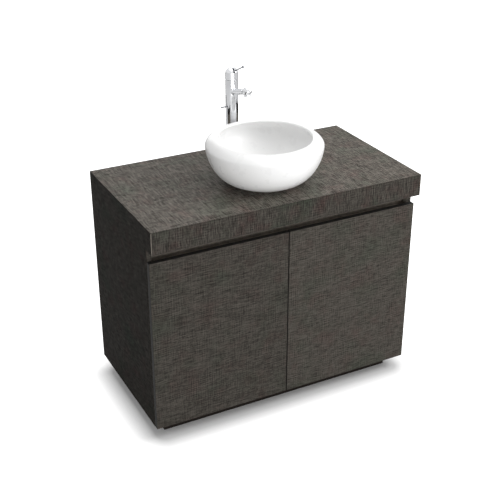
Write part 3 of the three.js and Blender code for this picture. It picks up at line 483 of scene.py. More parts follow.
def from_cad(node, bevel, segments=3):
    """The CAD node's own shape, in millimetres, with its flat faces whole and its edges eased."""
    bm = bmesh.new()
    bm.from_mesh(frame["nodes"][node].data)
    bmesh.ops.scale(bm, vec=(1 / MM, 1 / MM, 1 / MM), verts=bm.verts)
    bmesh.ops.remove_doubles(bm, verts=bm.verts, dist=0.001)
    bmesh.ops.dissolve_limit(bm, angle_limit=math.radians(0.5), verts=bm.verts, edges=bm.edges)
    bmesh.ops.recalc_face_normals(bm, faces=bm.faces)
    sharp = [edge for edge in bm.edges if edge.calc_face_angle(0.0) > math.radians(30)]
    bmesh.ops.bevel(
        bm, geom=sharp, offset=bevel, segments=segments, affect="EDGES", profile=0.5, clamp_overlap=True,
    )
    return bm


def hex_nut(flats, bore, bottom, top, bevel=0.8):
    """A hexagon nut with chamfered corners and a round bore."""
    bm = bmesh.new()
    bmesh.ops.create_cone(
        bm, cap_ends=True, segments=6, radius1=flats / math.sqrt(3), radius2=flats / math.sqrt(3),
        depth=top - bottom,
    )
    bmesh.ops.rotate(bm, cent=(0, 0, 0), matrix=Matrix.Rotation(math.radians(30), 3, "Z"), verts=bm.verts)
    bmesh.ops.translate(bm, vec=(0, 0, (top + bottom) / 2), verts=bm.verts)
    bmesh.ops.bevel(bm, geom=bm.edges[:], offset=bevel, segments=3, affect="EDGES", profile=0.5)
    return combined("DIFFERENCE", bm, cylinder(bore, bottom - 1, top + 1, edge=0))


def screw_head(centre, direction, radius=3.6, height=1.6):
    """A pan head with a cross recess."""
    dome = [(0, 0), (radius, 0), (radius, height * 0.35), (radius * 0.72, height * 0.9), (0, height)]
    head = turned(rounded(dome, 0.3), 40)
    depth, narrow, reach = height * 0.45, radius * 0.24, radius * 0.62
    for low, high in (((-reach, -narrow), (reach, narrow)), ((-narrow, -reach), (narrow, reach))):
        slot = block((*low, depth), (*high, height + 1), bevel=0)
        head = combined("DIFFERENCE", head, slot)
    return moved(head, centre, direction)


# ------------------------------------------------------------------ cabinet

PANELS = {
    "worktop": ("linen_top_painted_light", 0.5), "front_apron": ("linen_apron", 1.2),
    "left_side_panel": ("linen_side_painted_shade", 0.8), "right_side_panel": ("linen_side_painted_shade", 0.8),
    "left_door": ("linen_door_left", 0.9), "right_door": ("linen_door_right", 0.9),
    "apron_soffit": ("linen_groove_painted_light", 0.4), "grip_channel": ("linen_groove_painted_light", 0.6),
    "plinth_front": ("linen_side_painted_shade", 0.5), "plinth_left": ("linen_side_painted_shade", 0.5),
    "plinth_right": ("linen_side_painted_shade", 0.5), "plinth_back": ("dark_board", 0.5),
    "bottom_panel": ("dark_board", 0.5), "back_panel": ("dark_board", 0.4),
    "rear_fixing_rail": ("dark_board", 0.5),
}
# extra face materials: painted highlight on nose edges, painted shade on door edges, door print, painted
# light on inner faces, rear print
EDGE_MATERIALS = ("painted_edge_highlight", "painted_gap_shade", "linen_door_left", "linen_inside_painted_light", "linen_apron")
PAINTED_EDGE_HIGHLIGHT, PAINTED_GAP_SHADE, FACED_EDGE, INNER_FACE_PAINTED_LIGHT, REAR_EDGE = 1, 2, 3, 4, 5
SIDE_PANELS = {"left_side_panel": -1, "right_side_panel": 1}
DOORS = ("left_door", "right_door")


def paint_nose_highlight(bm, bevel):
    """Paint a highlight on the eased upright edges of the nose."""
    front = min(vert.co.y for vert in bm.verts)
    for face in bm.faces:
        upright = abs(face.normal.z) < 0.1 and width(face) < bevel
        if upright and face.calc_center_median().y < front + 2:
            face.material_index = PAINTED_EDGE_HIGHLIGHT


def face_panel(bm, side):
    """Give a side panel's front edges the doors' print, and its inner face a paler copy that paints light
    into the shaded groove.
    """
    for face in bm.faces:
        if face.normal.y < -0.9:
            face.material_index = FACED_EDGE
        elif face.normal.x * side < -0.9:
            face.material_index = INNER_FACE_PAINTED_LIGHT


def shade_door_edges(bm):
    """Painted shade on a door's top and side edges, standing in for the shadow in the gaps round it."""
    for face in bm.faces:
        if face.normal.z > 0.5 or abs(face.normal.x) > 0.5:
            face.material_index = PAINTED_GAP_SHADE


def face_rear(bm):
    """Upright print on the worktop's rear edge."""
    for face in bm.faces:
        if face.normal.y > 0.9:
            face.material_index = REAR_EDGE


def build_cabinet():
    for node, (material, bevel) in PANELS.items():
        board = from_cad(node, bevel)
        board.normal_update()
        if node in SIDE_PANELS:
            face_panel(board, SIDE_PANELS[node])
        if node in SIDE_PANELS or node == "front_apron":
            paint_nose_highlight(board, bevel)
        if node in DOORS:
            shade_door_edges(board)
        if node == "worktop":
            face_rear(board)
        to_object(f"{node}_board", board, material, node=node, flat_over=2, others=EDGE_MATERIALS)


# ------------------------------------------------------------------ doors' hardware


HINGE_CUP_RADIUS = 17.2
HINGE_CUP_WALL = 1
HINGE_FLANGE = 1.2
CUP_SCREW_SPACING = 52
PLATE_SCREW_SPACING = 34


def build_hinge_cup(side_name, prefix):
    side = SIDES[side_name]
    node = f"{prefix}_hinge_cup"
    low, high = box_mm(node)
    centre = Vector((side * (abs(low.x + high.x) / 2 - 0.15), high.y, (low.z + high.z) / 2))
    depth = high.y - low.y - HINGE_FLANGE
    radius = HINGE_CUP_RADIUS
    bore = radius - HINGE_CUP_WALL
    floor = HINGE_CUP_WALL - depth
    flange = block((low.x, high.y - HINGE_FLANGE, low.z), (high.x, high.y, high.z), 0.5)
    cup = turned(rounded([(0, -depth), (radius, -depth), (radius, 0.5), (0, 0.5)], 1.5), 72)
    hollow = turned(rounded([(0, floor), (bore, floor), (bore, 3), (0, 3)], 2.5), 72)
    seat = centre - Vector((0, HINGE_FLANGE, 0))
    body = combined(
        "DIFFERENCE",
        combined("UNION", flange, moved(cup, seat, (0, 1, 0))),
        moved(hollow, seat, (0, 1, 0)),
    )
    to_object(f"{prefix}_cup", body, "plated_steel", node=node)
    heads = [
        screw_head(centre + Vector((0, -0.2, end * CUP_SCREW_SPACING / 2)), (0, 1, 0), 3.2, 0.9)
        for end in (-1, 1)
    ]
    screws = joined(*heads)
    to_object(f"{prefix}_cup_screws", screws, "plated_steel", body=f"{side_name}_door")


def build_hinge_mounting(side_name, prefix):
    side = SIDES[side_name]
    inward = (-side, 0, 0)
    for part, bevel in (("plate", 0.6), ("arm", 1.0)):
        node = f"{prefix}_hinge_{part}"
        to_object(f"{prefix}_{part}", from_cad(node, bevel), "plated_steel", node=node)
    low, high = box_mm(f"{prefix}_hinge_plate")
    middle = (low + high) / 2
    face_x = side * (max(abs(low.x), abs(high.x)) - 4 + 0.2)
    heads = [
        screw_head((face_x, middle.y, middle.z + end * PLATE_SCREW_SPACING / 2), inward, 3.8, 1.8)
        for end in (-1, 1)
    ]
    low, high = box_mm(f"{prefix}_hinge_arm")
    arm_x = side * (min(abs(low.x), abs(high.x)) + 1.2)
    for share in (0.45, 0.78):
        head_y = low.y + (high.y - low.y) * share
        heads.append(screw_head((arm_x, head_y, middle.z), inward, 3.4, 1.6))
    screws = joined(*heads)
    to_object(f"{prefix}_carcass_screws", screws, "plated_steel", body="vanity")


def build_bumper(node):
    low, high = box_mm(node)
    radius, height = (high.x - low.x) / 2, high.y - low.y
    dome = [(0, 0), (radius, 0), (radius * 0.94, height * 0.55), (radius * 0.6, height), (0, height)]
    place = ((low.x + high.x) / 2, low.y, (low.z + high.z) / 2)
    pad = moved(turned(rounded(dome, 0.5), 40), place, (0, 1, 0))
    to_object(f"{node}_pad", pad, "clear_rubber", node=node)


def build_door_hardware():
    for side_name in SIDES:
        for level in LEVELS:
            prefix = f"{side_name}_{level}"
            build_hinge_cup(side_name, prefix)
            build_hinge_mounting(side_name, prefix)
            build_bumper(f"{prefix}_door_bumper")


# ------------------------------------------------------------------ basin

BASIN_WIDEST_HEIGHT = 118
BASIN_HEIGHT = 140
BASIN_LIP_RADIUS = 148
BASIN_LIP = 5
BASIN_FOOT = 96
BASIN_FOOT_WIDTH = 12
BASIN_FOOT_HEIGHT = 6.5
BASIN_WALL = 15
BASIN_FLOOR = 22
BASIN_UNDERSIDE = 10
WASTE_HOLE = 22.5
FLANGE_SEAT = 19


def bulge(start, end, power, steps):
    """Quarter of a rounded curve that leaves start flat and reaches end upright."""
    points = []
    for i in range(steps + 1):
        share = math.sin(i / steps * math.pi / 2)
        swell = math.sqrt(max(0.0, 1 - (1 - share) ** power))
        points.append((start[0] + (end[0] - start[0]) * swell, start[1] + (end[1] - start[1]) * share))
    return points


def eased(profile, count, passes, widest):
    """Even out a profile's curvature between its ends, then bring it back to its widest radius."""
    lengths = [0.0]
    for start, end in zip(profile, profile[1:]):
        lengths.append(lengths[-1] + math.dist(start, end))
    points = []
    k = 0
    for i in range(count + 1):
        target = lengths[-1] * i / count
        while k < len(profile) - 2 and lengths[k + 1] < target:
            k += 1
        share = (target - lengths[k]) / (lengths[k + 1] - lengths[k])
        points.append(Vector(profile[k]).lerp(Vector(profile[k + 1]), share))
    for _ in range(passes):
        inner = [(points[i - 1] + points[i] * 2 + points[i + 1]) / 4 for i in range(1, count)]
        points = [points[0], *inner, points[-1]]
    start = points[0].x
    grow = (widest - start) / (max(point.x for point in points) - start)
    return [(start + (x - start) * grow, z) if x > start else (x, z) for x, z in points]


def bowl_outside(radius):
    """Outer profile from the foot up over the widest ring to the lip."""
    widest = (radius, BASIN_WIDEST_HEIGHT)
    lower = bulge((BASIN_FOOT, BASIN_FOOT_HEIGHT), widest, 1.7, 40)
    upper = bulge((BASIN_LIP_RADIUS, BASIN_HEIGHT), widest, 1.32, 28)[::-1][1:]
    # the curve is evened out round its widest ring only, so the foot and the rim stay as they are
    return [*lower[:14], *eased([*lower[14:], *upper[:18]], 40, 8, radius), *upper[18:]]


def bowl_inside(radius, hole):
    """Rolled lip, undercut and inner wall, down to the edge of the waste hole."""
    inner_widest = (radius - BASIN_WALL, BASIN_WIDEST_HEIGHT - BASIN_WALL)
    inner_lip = (BASIN_LIP_RADIUS - BASIN_LIP, BASIN_HEIGHT - BASIN_LIP)
    lip = [
        (BASIN_LIP_RADIUS - BASIN_LIP * math.sin(t), BASIN_HEIGHT - BASIN_LIP * (1 - math.cos(t)))
        for t in (math.pi * k / 12 for k in range(1, 6))
    ]
    undercut = bulge(inner_lip, inner_widest, 1.6, 12)
    wall = bulge((hole + 2.5, BASIN_FLOOR), inner_widest, 1.8, 30)[::-1][1:]
    return [*lip, *undercut, *wall]


def bowl_base(hole, foot_bottom):
    """Seat for the waste's flange, its hole, and the ring foot."""
    foot_inner = BASIN_FOOT - BASIN_FOOT_WIDTH
    corners = [
        (hole + 0.3, FLANGE_SEAT), (WASTE_HOLE, FLANGE_SEAT), (WASTE_HOLE, BASIN_UNDERSIDE),
        (foot_inner, BASIN_UNDERSIDE), (foot_inner, foot_bottom), (BASIN_FOOT, foot_bottom),
        (BASIN_FOOT, BASIN_FOOT_HEIGHT - 1),
    ]
    return rounded(corners, 1.0)


def build_basin():
    bowl = Round("basin_bowl")
    gasket = Round("basin_gasket")
    hole = Round("waste_body").radius
    counter = gasket.bottom
    place = bowl.centre + Vector((0, 0, counter))
    base = bowl_base(hole, bowl.bottom - counter)
    profile = [*bowl_outside(bowl.radius), *bowl_inside(bowl.radius, hole), *base]
    mesh = turned(profile, 192, closed=True)
    to_object("vessel_bowl", moved(mesh, place), "glazed_ceramic", node="basin_bowl")
    seal_hole = BASIN_FOOT - BASIN_FOOT_WIDTH + 1
    seal = ring(gasket.radius, seal_hole, 0, gasket.top - counter, 128, edge=0.3)
    to_object("foot_seal", moved(seal, place), "clear_rubber", node="basin_gasket")


# ------------------------------------------------------------------ waste and trap


def threaded(outer, bottom, top, pitch=1.5, depth=0.5):
    """Profile points down the side of a screw thread, from top to bottom."""
    points = []
    steps = int((top - bottom) / pitch * 2)
    for i in range(steps + 1):
        height = top - (top - bottom) * i / steps
        points.append((outer - (depth if i % 2 else 0.0), height))
    return points


TAIL_RADIUS = 19.5
TAIL_WALL = 3.5
THREAD_BOTTOM, THREAD_TOP = 640, 700
PORT_CAP_DEPTH = 6.4
BALL_FROM_ROD_END = 28.5


def build_waste_fitting(centre, port_z, port_end):
    """Flanged waste with a threaded tail and the side port for the ball rod."""
    body = Round("waste_body")
    tail = TAIL_RADIUS
    bore = tail - TAIL_WALL
    seat = body.top - 3.5
    mouth = [
        (bore, body.top - 4.5), (20, body.top - 4.5), (20, body.top), (body.radius, body.top - 0.6),
        (body.radius, seat), (tail, seat), (tail, seat - 30),
    ]
    outside = [
        *rounded(mouth, 0.8),
        *threaded(tail, THREAD_BOTTOM, THREAD_TOP),
        (tail, THREAD_BOTTOM - 4), (tail, body.bottom), (bore, body.bottom),
    ]
    shell = turned(outside, 96, closed=True)
    port = moved(cylinder(8.5, tail - 2, port_end, 48), (0, 0, port_z), (0, 1, 0))
    drilling = moved(cylinder(6, bore - 4, port_end + 1, 48, edge=0), (0, 0, port_z), (0, 1, 0))
    whole = combined("DIFFERENCE", combined("UNION", shell, port), drilling)
    to_object("waste_fitting", moved(whole, centre), "chrome", node="waste_body")


def build_plug(centre):
    plug = Round("waste_plug")
    radius = plug.radius
    edge = plug.top - 1.8
    outline = [
        (0, plug.bottom), (3, plug.bottom), (3, edge - 14), (5.5, edge - 12), (5.5, edge - 3.5),
        (radius - 1, edge - 3.5), (radius, edge - 2.5), (radius, edge - 1), (radius - 2, edge),
        (radius * 0.7, plug.top - 0.8), (radius * 0.35, plug.top - 0.2), (0, plug.top),
    ]
    mesh = turned(rounded(outline, 0.5), 96)
    to_object("pop_up_plug", moved(mesh, centre), "chrome", node="waste_plug")


def build_waste_fixing(centre):
    washer = Round("waste_washer")
    locknut = Round("waste_locknut")
    hole = TAIL_RADIUS + 0.3
    seal = ring(washer.radius, hole, washer.bottom, washer.top, edge=1.2)
    to_object("worktop_washer", moved(seal, centre), "black_rubber", node="waste_washer")
    low, high = box_mm("waste_locknut")
    nut = hex_nut(high.y - low.y, hole, locknut.bottom, locknut.top, bevel=1.2)
    to_object("waste_backnut", moved(nut, centre), "brass", node="waste_locknut")


def build_ball_rod(centre, port_z):
    low, high = box_mm("ball_rod_nut")
    length = high.y - low.y
    skirt = [(8.8, 0), (11, 0), (11, length), (5.2, length), (5.2, PORT_CAP_DEPTH), (8.8, PORT_CAP_DEPTH)]
    cap = turned(
        rounded(skirt, 0.5, closed=True), 120, closed=True,
        flutes=20, flute_depth=0.25, fluted=lambda z: 1 < z < 8.5,
    )
    to_object("port_cap", moved(cap, (centre.x, low.y, port_z), (0, 1, 0)), "chrome", node="ball_rod_nut")

    low, high = box_mm("ball_rod")
    pivot = low.y + BALL_FROM_ROD_END
    rod = cylinder(2.5, 0, high.y - low.y, 32, edge=0.8)
    rod = moved(rod, (centre.x, low.y, port_z), (0, 1, 0))
    ball = bmesh.new()
    bmesh.ops.create_uvsphere(ball, u_segments=40, v_segments=24, radius=5.7)
    rod_and_ball = combined("UNION", rod, moved(ball, (centre.x, pivot, port_z)))
    to_object("pivot_rod", rod_and_ball, "plated_steel", node="ball_rod")


def build_waste():
    centre = Round("waste_body").centre
    low, high = box_mm("ball_rod_nut")
    port_z = (low.z + high.z) / 2
    build_waste_fitting(centre, port_z, low.y + PORT_CAP_DEPTH - centre.y)
    build_plug(centre)
    build_waste_fixing(centre)
    build_ball_rod(centre, port_z)


def union_nut(node, skirt, lip, height, upright=True):
    """A hand-tight union nut with grip ribs; its lip closes on the inner tube."""
    low, high = box_mm(node)
    outer = (high.x - low.x) / 2
    start = low.z if upright else low.y
    profile = [
        (skirt, 0), (outer, 0), (outer, height * 0.82), (outer - 3, height), (lip, height),
        (lip, height * 0.7), (skirt, height * 0.7),
    ]
    mesh = turned(
        rounded(profile, 0.8, closed=True), 192, closed=True,
        flutes=24, flute_depth=0.7, fluted=lambda z: 1.5 < z < height * 0.82,
    )
    bmesh.ops.scale(mesh, vec=((outer - 0.7) / outer, (outer - 0.7) / outer, 1), verts=mesh.verts)
    centre = (low + high) / 2
    if upright:
        return moved(mesh, (centre.x, centre.y, start))
    return moved(mesh, (centre.x, start, centre.z), (0, 1, 0))


TRAP_WALL = 3.2
TRAP_NECK = 24
TRAP_SHOULDER_DROP = 20


def build_trap_bottle(centre, radius, port_z):
    low, high = box_mm("trap_body")
    shoulder = high.z - TRAP_SHOULDER_DROP
    reach = high.y - centre.y
    barrel = [
        (0, low.z), (radius, low.z), (radius, low.z + 5), (radius - 1.2, low.z + 7),
        (radius - 1.2, shoulder - 8), (radius - 4, shoulder - 2.5), (TRAP_NECK, shoulder),
        (TRAP_NECK, high.z), (0, high.z),
    ]
    body = turned(rounded(barrel, 1.5, steps=5), 128)
    port = moved(cylinder(20.5, 0, reach, 96, edge=0.8), (0, 0, port_z), (0, 1, 0))
    chamber = cylinder(radius - TRAP_WALL, low.z - 1, shoulder - 2 * TRAP_WALL, 96, edge=0)
    throat = cylinder(19.8, shoulder - 3 * TRAP_WALL, high.z + 1, 96, edge=0)
    drilling = moved(cylinder(16.4, 0, reach + 1, 96, edge=0), (0, 0, port_z), (0, 1, 0))
    whole = combined("DIFFERENCE", combined("UNION", body, port), chamber, throat, drilling)
    to_object("trap_bottle", moved(whole, centre), "white_plastic", node="trap_body")


def build_trap_bowl(cup):
    radius = cup.radius
    grip_bottom = cup.top - 20
    base = [
        (0, cup.bottom), (radius * 0.5, cup.bottom), (radius - 7, cup.bottom + 1),
        (radius - 1.5, cup.bottom + 8), (radius - 1.5, grip_bottom - 2), (radius - 0.8, grip_bottom),
        (radius - 0.8, cup.top), (26.8, cup.top), (26.8, cup.bottom + 10), (0, cup.bottom + TRAP_WALL),
    ]
    bowl = turned(
        rounded(base, 1.2), 240,
        flutes=30, flute_depth=0.75, fluted=lambda z: grip_bottom < z < cup.top - 2,
    )
    to_object("trap_bowl", moved(bowl, cup.centre), "white_plastic", node="trap_cup")


def build_trap():
    cup = Round("trap_cup")
    port_low, port_high = box_mm("trap_outlet_pipe")
    port_z = (port_low.z + port_high.z) / 2
    build_trap_bottle(cup.centre, cup.radius, port_z)
    build_trap_bowl(cup)
    inlet = union_nut("trap_inlet_nut", 24.3, 19.8, 20)
    to_object("inlet_union", inlet, "white_plastic", node="trap_inlet_nut")
    outlet = union_nut("trap_outlet_nut", 20.8, 16.3, 20, upright=False)
    to_object("outlet_union", outlet, "white_plastic", node="trap_outlet_nut")
    pipe = ring(16, 13.5, 0, port_high.y - port_low.y, 96, edge=0.6)
    pipe = moved(pipe, (cup.centre.x, port_low.y, port_z), (0, 1, 0))
    to_object("outlet_pipe", pipe, "white_plastic", node="trap_outlet_pipe")


# ------------------------------------------------------------------ tap

SPOUT_RISE = math.radians(17.4)
SPOUT_DIRECTION = Vector((0, -math.cos(SPOUT_RISE), math.sin(SPOUT_RISE)))
SPOUT_AXIS_Z = 213.7
SPOUT_LENGTH = 127.5
SPOUT_RADIUS = 9.3
SPOUT_HEAD = 12.8
LEVER_RISE = math.radians(26.3)
LEVER_LENGTH = 87
LEVER_KNOB = 3.9
LEVER_TILT = math.radians(20)
LEVER_PIVOT = 277
LIFT_TRAVEL = 36


def build_tap_column():
    base = Round("tap_base")
    body = Round("tap_body")
    centre = body.centre
    foot = [
        (0, base.bottom), (base.radius, base.bottom), (base.radius, base.bottom + 3.5),
        (body.radius + 1.2, base.top), (0, base.top),
    ]
    to_object("tap_foot", moved(turned(rounded(foot, 1.0, 5), 128), centre), "chrome", node="tap_base")

    bore = body.radius - 4
    tube = [(bore, body.bottom), (body.radius, body.bottom), (body.radius, body.top), (bore, body.top)]
    column = turned(rounded(tube, 0.7, 4, closed=True), 160, closed=True)
    low, high = box_mm("lift_pin")
    half = 2.9
    pin_y = (low.y + high.y) / 2 - centre.y
    pin_z = (low.z + high.z) / 2
    slot = block(
        (-body.radius - 1, pin_y - half, pin_z - half),
        (1 - bore, pin_y + half, pin_z + LIFT_TRAVEL + half),
        bevel=2.4, segments=6,
    )
    column = combined("DIFFERENCE", column, slot)
    to_object("tap_column", moved(column, centre), "chrome", node="tap_body")


def build_spout():
    body = Round("tap_body")
    base = Round("tap_base")
    counter = base.bottom
    root = body.centre + Vector((0, 0, counter + SPOUT_AXIS_Z))
    outline = [
        (0, 4), (SPOUT_RADIUS + 1.4, 4), (SPOUT_RADIUS + 1.4, 20.5), (SPOUT_RADIUS, 24),
        (SPOUT_RADIUS, 88), (SPOUT_RADIUS + 0.5, 93), (SPOUT_HEAD - 0.6, 98), (SPOUT_HEAD, 103),
        (SPOUT_HEAD, 114), (SPOUT_HEAD - 1.2, 119.5), (SPOUT_HEAD - 4, 124), (SPOUT_HEAD - 8, 126.8),
        (0, SPOUT_LENGTH),
    ]
    arm = moved(turned(rounded(outline, 3.0, 6), 128), root, SPOUT_DIRECTION)
    column = moved(cylinder(body.radius + 0.1, counter, body.top + 40, 160, edge=0), body.centre)
    to_object("spout_arm", combined("DIFFERENCE", arm, column), "chrome", node="tap_spout", soften=50)

    down = Vector((0, -math.sin(SPOUT_RISE), -math.cos(SPOUT_RISE)))
    head = root + SPOUT_DIRECTION * (SPOUT_LENGTH - 20)
    barrel = [
        (0, 13.2), (6.8, 13.2), (7.6, 16.3), (9.9, 16.3), (10.4, 15.6),
        (10.4, 12.6), (9.7, 12.2), (9.7, 8), (0, 8),
    ]
    insert = turned(
        rounded(barrel, 0.3), 120,
        flutes=30, flute_depth=0.12, fluted=lambda z: 12.8 < z < 15.4,
    )
    to_object("aerator_insert", moved(insert, head, down), "chrome", node="aerator")


CAP_BORE = 12.5
LEVER_SLOT = 6.1


def lever_slot(cap_radius, pivot_z):
    """A wedge through the front of the dome that leaves room for the lever to tilt."""
    half = LEVER_SLOT / 2
    margin = math.asin(3.35 / CAP_BORE)
    slot = block((-half, 0, 0), (half, 1, 1), bevel=0)
    reach = cap_radius * 2
    low, high = LEVER_RISE - margin, LEVER_RISE + LEVER_TILT + margin
    for vert in slot.verts:
        angle = high if vert.co.z > 0.5 else low
        radius = reach if vert.co.y > 0.5 else CAP_BORE * 0.5
        vert.co.y, vert.co.z = -radius * math.cos(angle), pivot_z + radius * math.sin(angle)
    return slot


def build_lever_cap(cap, pivot_z):
    height = cap.top - pivot_z
    dome = [
        (cap.radius * math.cos(k * math.pi / 48), pivot_z + height * math.sin(k * math.pi / 48))
        for k in range(25)
    ]
    dome[-1] = (0, cap.top)
    shell = [
        (0, cap.top - 6), (CAP_BORE * 0.6, cap.top - 7), (CAP_BORE, cap.top - 12), (CAP_BORE, cap.bottom),
        (cap.radius - 0.9, cap.bottom), (cap.radius, cap.bottom + 0.9), *dome,
    ]
    whole = combined("DIFFERENCE", turned(shell, 160), lever_slot(cap.radius, pivot_z))
    to_object("lever_dome", moved(whole, cap.centre), "chrome", node="lever_cap")


def build_lever():
    cap = Round("lever_cap")
    pivot_z = Round("tap_base").bottom + LEVER_PIVOT
    build_lever_cap(cap, pivot_z)
    direction = Vector((0, -math.cos(LEVER_RISE), math.sin(LEVER_RISE)))
    stick = [(0, -2), (2.75, -2), (2.75, 24), (2.3, 34), (2.0, 78), (2.4, 82)]
    knob = [
        (LEVER_KNOB * math.cos(t), LEVER_LENGTH + LEVER_KNOB * math.sin(t))
        for t in (math.pi * (k / 16 - 0.3) for k in range(13))
    ]
    pin = turned([*stick, *knob, (0, LEVER_LENGTH + LEVER_KNOB)], 64)
    hub = moved(cylinder(5, -5, 5, 48), (0, 0, 0), (1, 0, 0))
    axle = moved(cylinder(1.5, -12.2, 12.2, 32), (0, 0, 0), (1, 0, 0))
    handle = combined("UNION", hub, moved(pin, (0, 0, 0), direction), axle)
    pivot = cap.centre + Vector((0, 0, pivot_z))
    to_object("lever_handle", moved(handle, pivot), "chrome_painted_dark", node="lever_pin", soften=50)


def build_tap_fixing():
    stud = Round("tap_stud")
    end = stud.radius - 0.6
    side = threaded(stud.radius, stud.bottom + 1, stud.top - 1, 1.0, 0.35)
    mesh = turned([(0, stud.top), (end, stud.top), *side, (end, stud.bottom), (0, stud.bottom)], 40)
    to_object("tap_stud_bar", moved(mesh, stud.centre), "brass", node="tap_stud")
    rod = Round("lift_rod")
    mesh = cylinder(rod.radius, rod.bottom, rod.top, 40, 0.6)
    to_object("lift_rod_bar", moved(mesh, rod.centre), "plated_steel", node="lift_rod")
    low, high = box_mm("tap_locknut")
    nut = Round("tap_locknut")
    mesh = hex_nut(high.y - low.y, 3.3, low.z, high.z, 0.5)
    to_object("tap_backnut", moved(mesh, nut.centre), "brass", node="tap_locknut")
    to_object("tap_clamp", from_cad("tap_clamp_plate", 0.4, 2), "plated_steel", node="tap_clamp_plate")
    for name in ("hot", "cold"):
        tube = Round(f"{name}_inlet")
        mesh = ring(tube.radius, tube.radius - 2.2, tube.bottom, tube.top, 64)
        to_object(f"{name}_tail", moved(mesh, tube.centre), "plated_steel", node=f"{name}_inlet")
    cartridge = Round("cartridge")
    neck = cartridge.top - 12
    profile = [
        (0, cartridge.bottom), (cartridge.radius, cartridge.bottom), (cartridge.radius, neck),
        (7.5, neck), (7.5, cartridge.top), (0, cartridge.top),
    ]
    mesh = turned(rounded(profile, 0.6), 64)
    to_object("valve_cartridge", moved(mesh, cartridge.centre), "white_plastic", node="cartridge")


def build_lift():
    low, high = box_mm("lift_pin")
    length = high.x - low.x
    pin = [(0, 0), (2.3, 0), (2.3, length - 10), (1.7, length - 8.5), (1.7, length), (0, length)]
    mesh = turned(rounded(pin, 0.7), 48)
    place = (low.x, (low.y + high.y) / 2, (low.z + high.z) / 2)
    to_object("lift_pin_stem", moved(mesh, place, (1, 0, 0)), "chrome_painted_dark", node="lift_pin")
    low, high = box_mm("linkage_strap")
    strap = block(low, high, 0.3)
    middle_x, hole_z = (low.x + high.x) / 2, low.z + 10
    holes = []
    for k in range(5):
        hole = cylinder(3.4 if k == 0 else 2.2, 0, 6, 40, edge=0)
        holes.append(moved(hole, (middle_x, low.y - 2, hole_z + 8 * k), (0, 1, 0)))
    strap = combined("DIFFERENCE", strap, *holes)
    to_object("strap_plate", strap, "plated_steel", node="linkage_strap")


# ------------------------------------------------------------------ light, floor and camera

CAMERA_PLACE = Vector((-1.3305, -2.5361, 1.9222))
CAMERA_FORWARD = Vector((0.4093, 0.7903, -0.4559))
CAMERA_LENS = 72
CAMERA_SENSOR = 36


def build_camera():
    data = bpy.data.cameras.new("camera")
    data.lens = CAMERA_LENS
    data.sensor_width = CAMERA_SENSOR
    camera = bpy.data.objects.new("camera", data)
    camera.location = CAMERA_PLACE
    camera.rotation_euler = CAMERA_FORWARD.to_track_quat("-Z", "Y").to_euler()
    bpy.context.scene.collection.objects.link(camera)
    bpy.context.scene.camera = camera


def area_light(name, place, target, size, power):
    data = bpy.data.lights.new(name, "AREA")
    data.shape = "RECTANGLE"
    data.size, data.size_y = size
    data.energy = power
    lamp = bpy.data.objects.new(name, data)
    lamp.location = place
    lamp.rotation_euler = (Vector(target) - Vector(place)).to_track_quat("-Z", "Y").to_euler()
    bpy.context.scene.collection.objects.link(lamp)


def shows_background(tree, reflected):
    """1 for rays from the camera, reflected for rays that metal or glass send on, else 0."""
    path = tree.nodes.new("ShaderNodeLightPath")
    total = path.outputs["Is Camera Ray"]
    for name in ("Is Glossy Ray", "Is Transmission Ray"):
        scale = tree.nodes.new("ShaderNodeMath")
        scale.operation = "MULTIPLY"
        scale.inputs[1].default_value = reflected
        tree.links.new(path.outputs[name], scale.inputs[0])
        largest = tree.nodes.new("ShaderNodeMath")
        largest.operation = "MAXIMUM"
        tree.links.new(total, largest.inputs[0])
        tree.links.new(scale.outputs[0], largest.inputs[1])
        total = largest.outputs[0]
    return total


def build_world(ambient):
    world = bpy.data.worlds.new("studio")
    bpy.context.scene.world = world
    world.use_nodes = True
    tree = world.node_tree
    background = tree.nodes["Background"]
    background.inputs["Color"].default_value = (1, 1, 1, 1)
    level = tree.nodes.new("ShaderNodeMapRange")
    level.inputs["To Min"].default_value = ambient
    level.inputs["To Max"].default_value = 1.0
    tree.links.new(shows_background(tree, 0.8), level.inputs["Value"])
    tree.links.new(level.outputs[0], background.inputs["Strength"])


# half the plinth's width and depth, in metres
PLINTH_HALF = (0.41, 0.19)


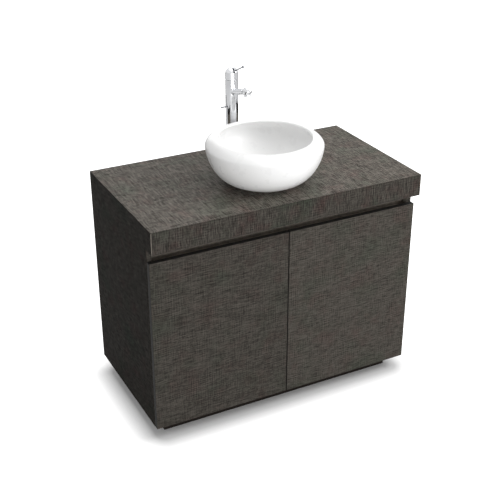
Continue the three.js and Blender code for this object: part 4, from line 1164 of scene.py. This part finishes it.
def build_floor(painted_shadow_glow):
    """A wide white floor. Its glow shows it as white, and fades round the plinth to a painted shadow, where
    the lamps' own shadow also shows.
    """
    graph = Graph("studio_floor")
    graph.set(Base_Color=(0.75, 0.75, 0.75, 1.0), Roughness=0.9, Specular_IOR_Level=0.0)
    graph.set(Emission_Color=(1, 1, 1, 1))
    axes = graph.node("ShaderNodeSeparateXYZ", {0: graph.place()}).outputs
    aside, ahead = [
        graph.math("MAXIMUM", graph.math("SUBTRACT", graph.math("ABSOLUTE", axis), half), 0.0)
        for axis, half in zip(axes, PLINTH_HALF)
    ]
    squares = [graph.math("MULTIPLY", axis, axis) for axis in (aside, ahead)]
    distance = graph.math("SQRT", graph.math("ADD", *squares))
    # the glow falls near the plinth, which paints a shadow round it
    glow = graph.between(distance, 0.03, 0.12, painted_shadow_glow, 1.0)
    graph.set(Emission_Strength=graph.math("MULTIPLY", shows_background(graph.tree, 0.28), glow))
    bm = bmesh.new()
    bmesh.ops.create_grid(bm, x_segments=1, y_segments=1, size=60.0)
    mesh = bpy.data.meshes.new("floor")
    bm.to_mesh(mesh)
    bm.free()
    floor = bpy.data.objects.new("floor", mesh)
    floor.location.z = -0.0002
    mesh.materials.append(graph.material)
    bpy.context.scene.collection.objects.link(floor)


# dark cards that only reflections see, so that the chrome has dark bands: place, turn and width
FLAGS = {
    "flag_left": ((-1.15, 0.05, 0.27), 90, 1.3),
    "flag_right": ((1.2, 0.0, 0.27), 90, 1.5),
    "flag_back": ((0.69, 1.65, 0.24), -27, 3.4),
}
FLAG_HEIGHT = 0.54
FLAG_THICKNESS = 0.004


def build_flag(name, place, turn, card_width):
    graph = Graph(name)
    graph.set(Base_Color=(0.01, 0.01, 0.01, 1.0), Roughness=0.9, Specular_IOR_Level=0.0)
    half = Vector((card_width, FLAG_THICKNESS, FLAG_HEIGHT)) / 2
    bm = block(-half, half, bevel=0)
    mesh = bpy.data.meshes.new(name)
    bm.to_mesh(mesh)
    bm.free()
    mesh.materials.append(graph.material)
    card = bpy.data.objects.new(name, mesh)
    card.location = place
    card.rotation_euler.z = turn
    for ray in ("camera", "diffuse", "transmission", "volume_scatter", "shadow"):
        setattr(card, f"visible_{ray}", False)
    bpy.context.scene.collection.objects.link(card)


def build_studio():
    build_camera()
    build_world(ambient=0.46)
    build_floor(painted_shadow_glow=0.05)
    for name, (place, turn, card_width) in FLAGS.items():
        build_flag(name, place, math.radians(turn), card_width)
    area_light("key", (1.5, -1.2, 1.9), (0.15, 0, 0.75), (1.2, 1.0), 27)
    area_light("overhead", (0.2, 0.0, 2.6), (0.1, 0, 0.7), (2.4, 2.4), 17)
    area_light("front_fill", (-1.2, -4.0, 0.7), (0, 0, 0.75), (2.6, 1.2), 68)
    area_light("back_fill", (1.2, 3.8, 1.6), (0, 0, 0.5), (2.4, 1.6), 22)
    scene = bpy.context.scene
    scene.view_settings.view_transform = "Standard"


build_studio()
build_cabinet()
build_door_hardware()
build_basin()
build_waste()
build_trap()
build_tap_column()
build_spout()
build_lever()
build_tap_fixing()
build_lift()

bpy.context.view_layer.update()
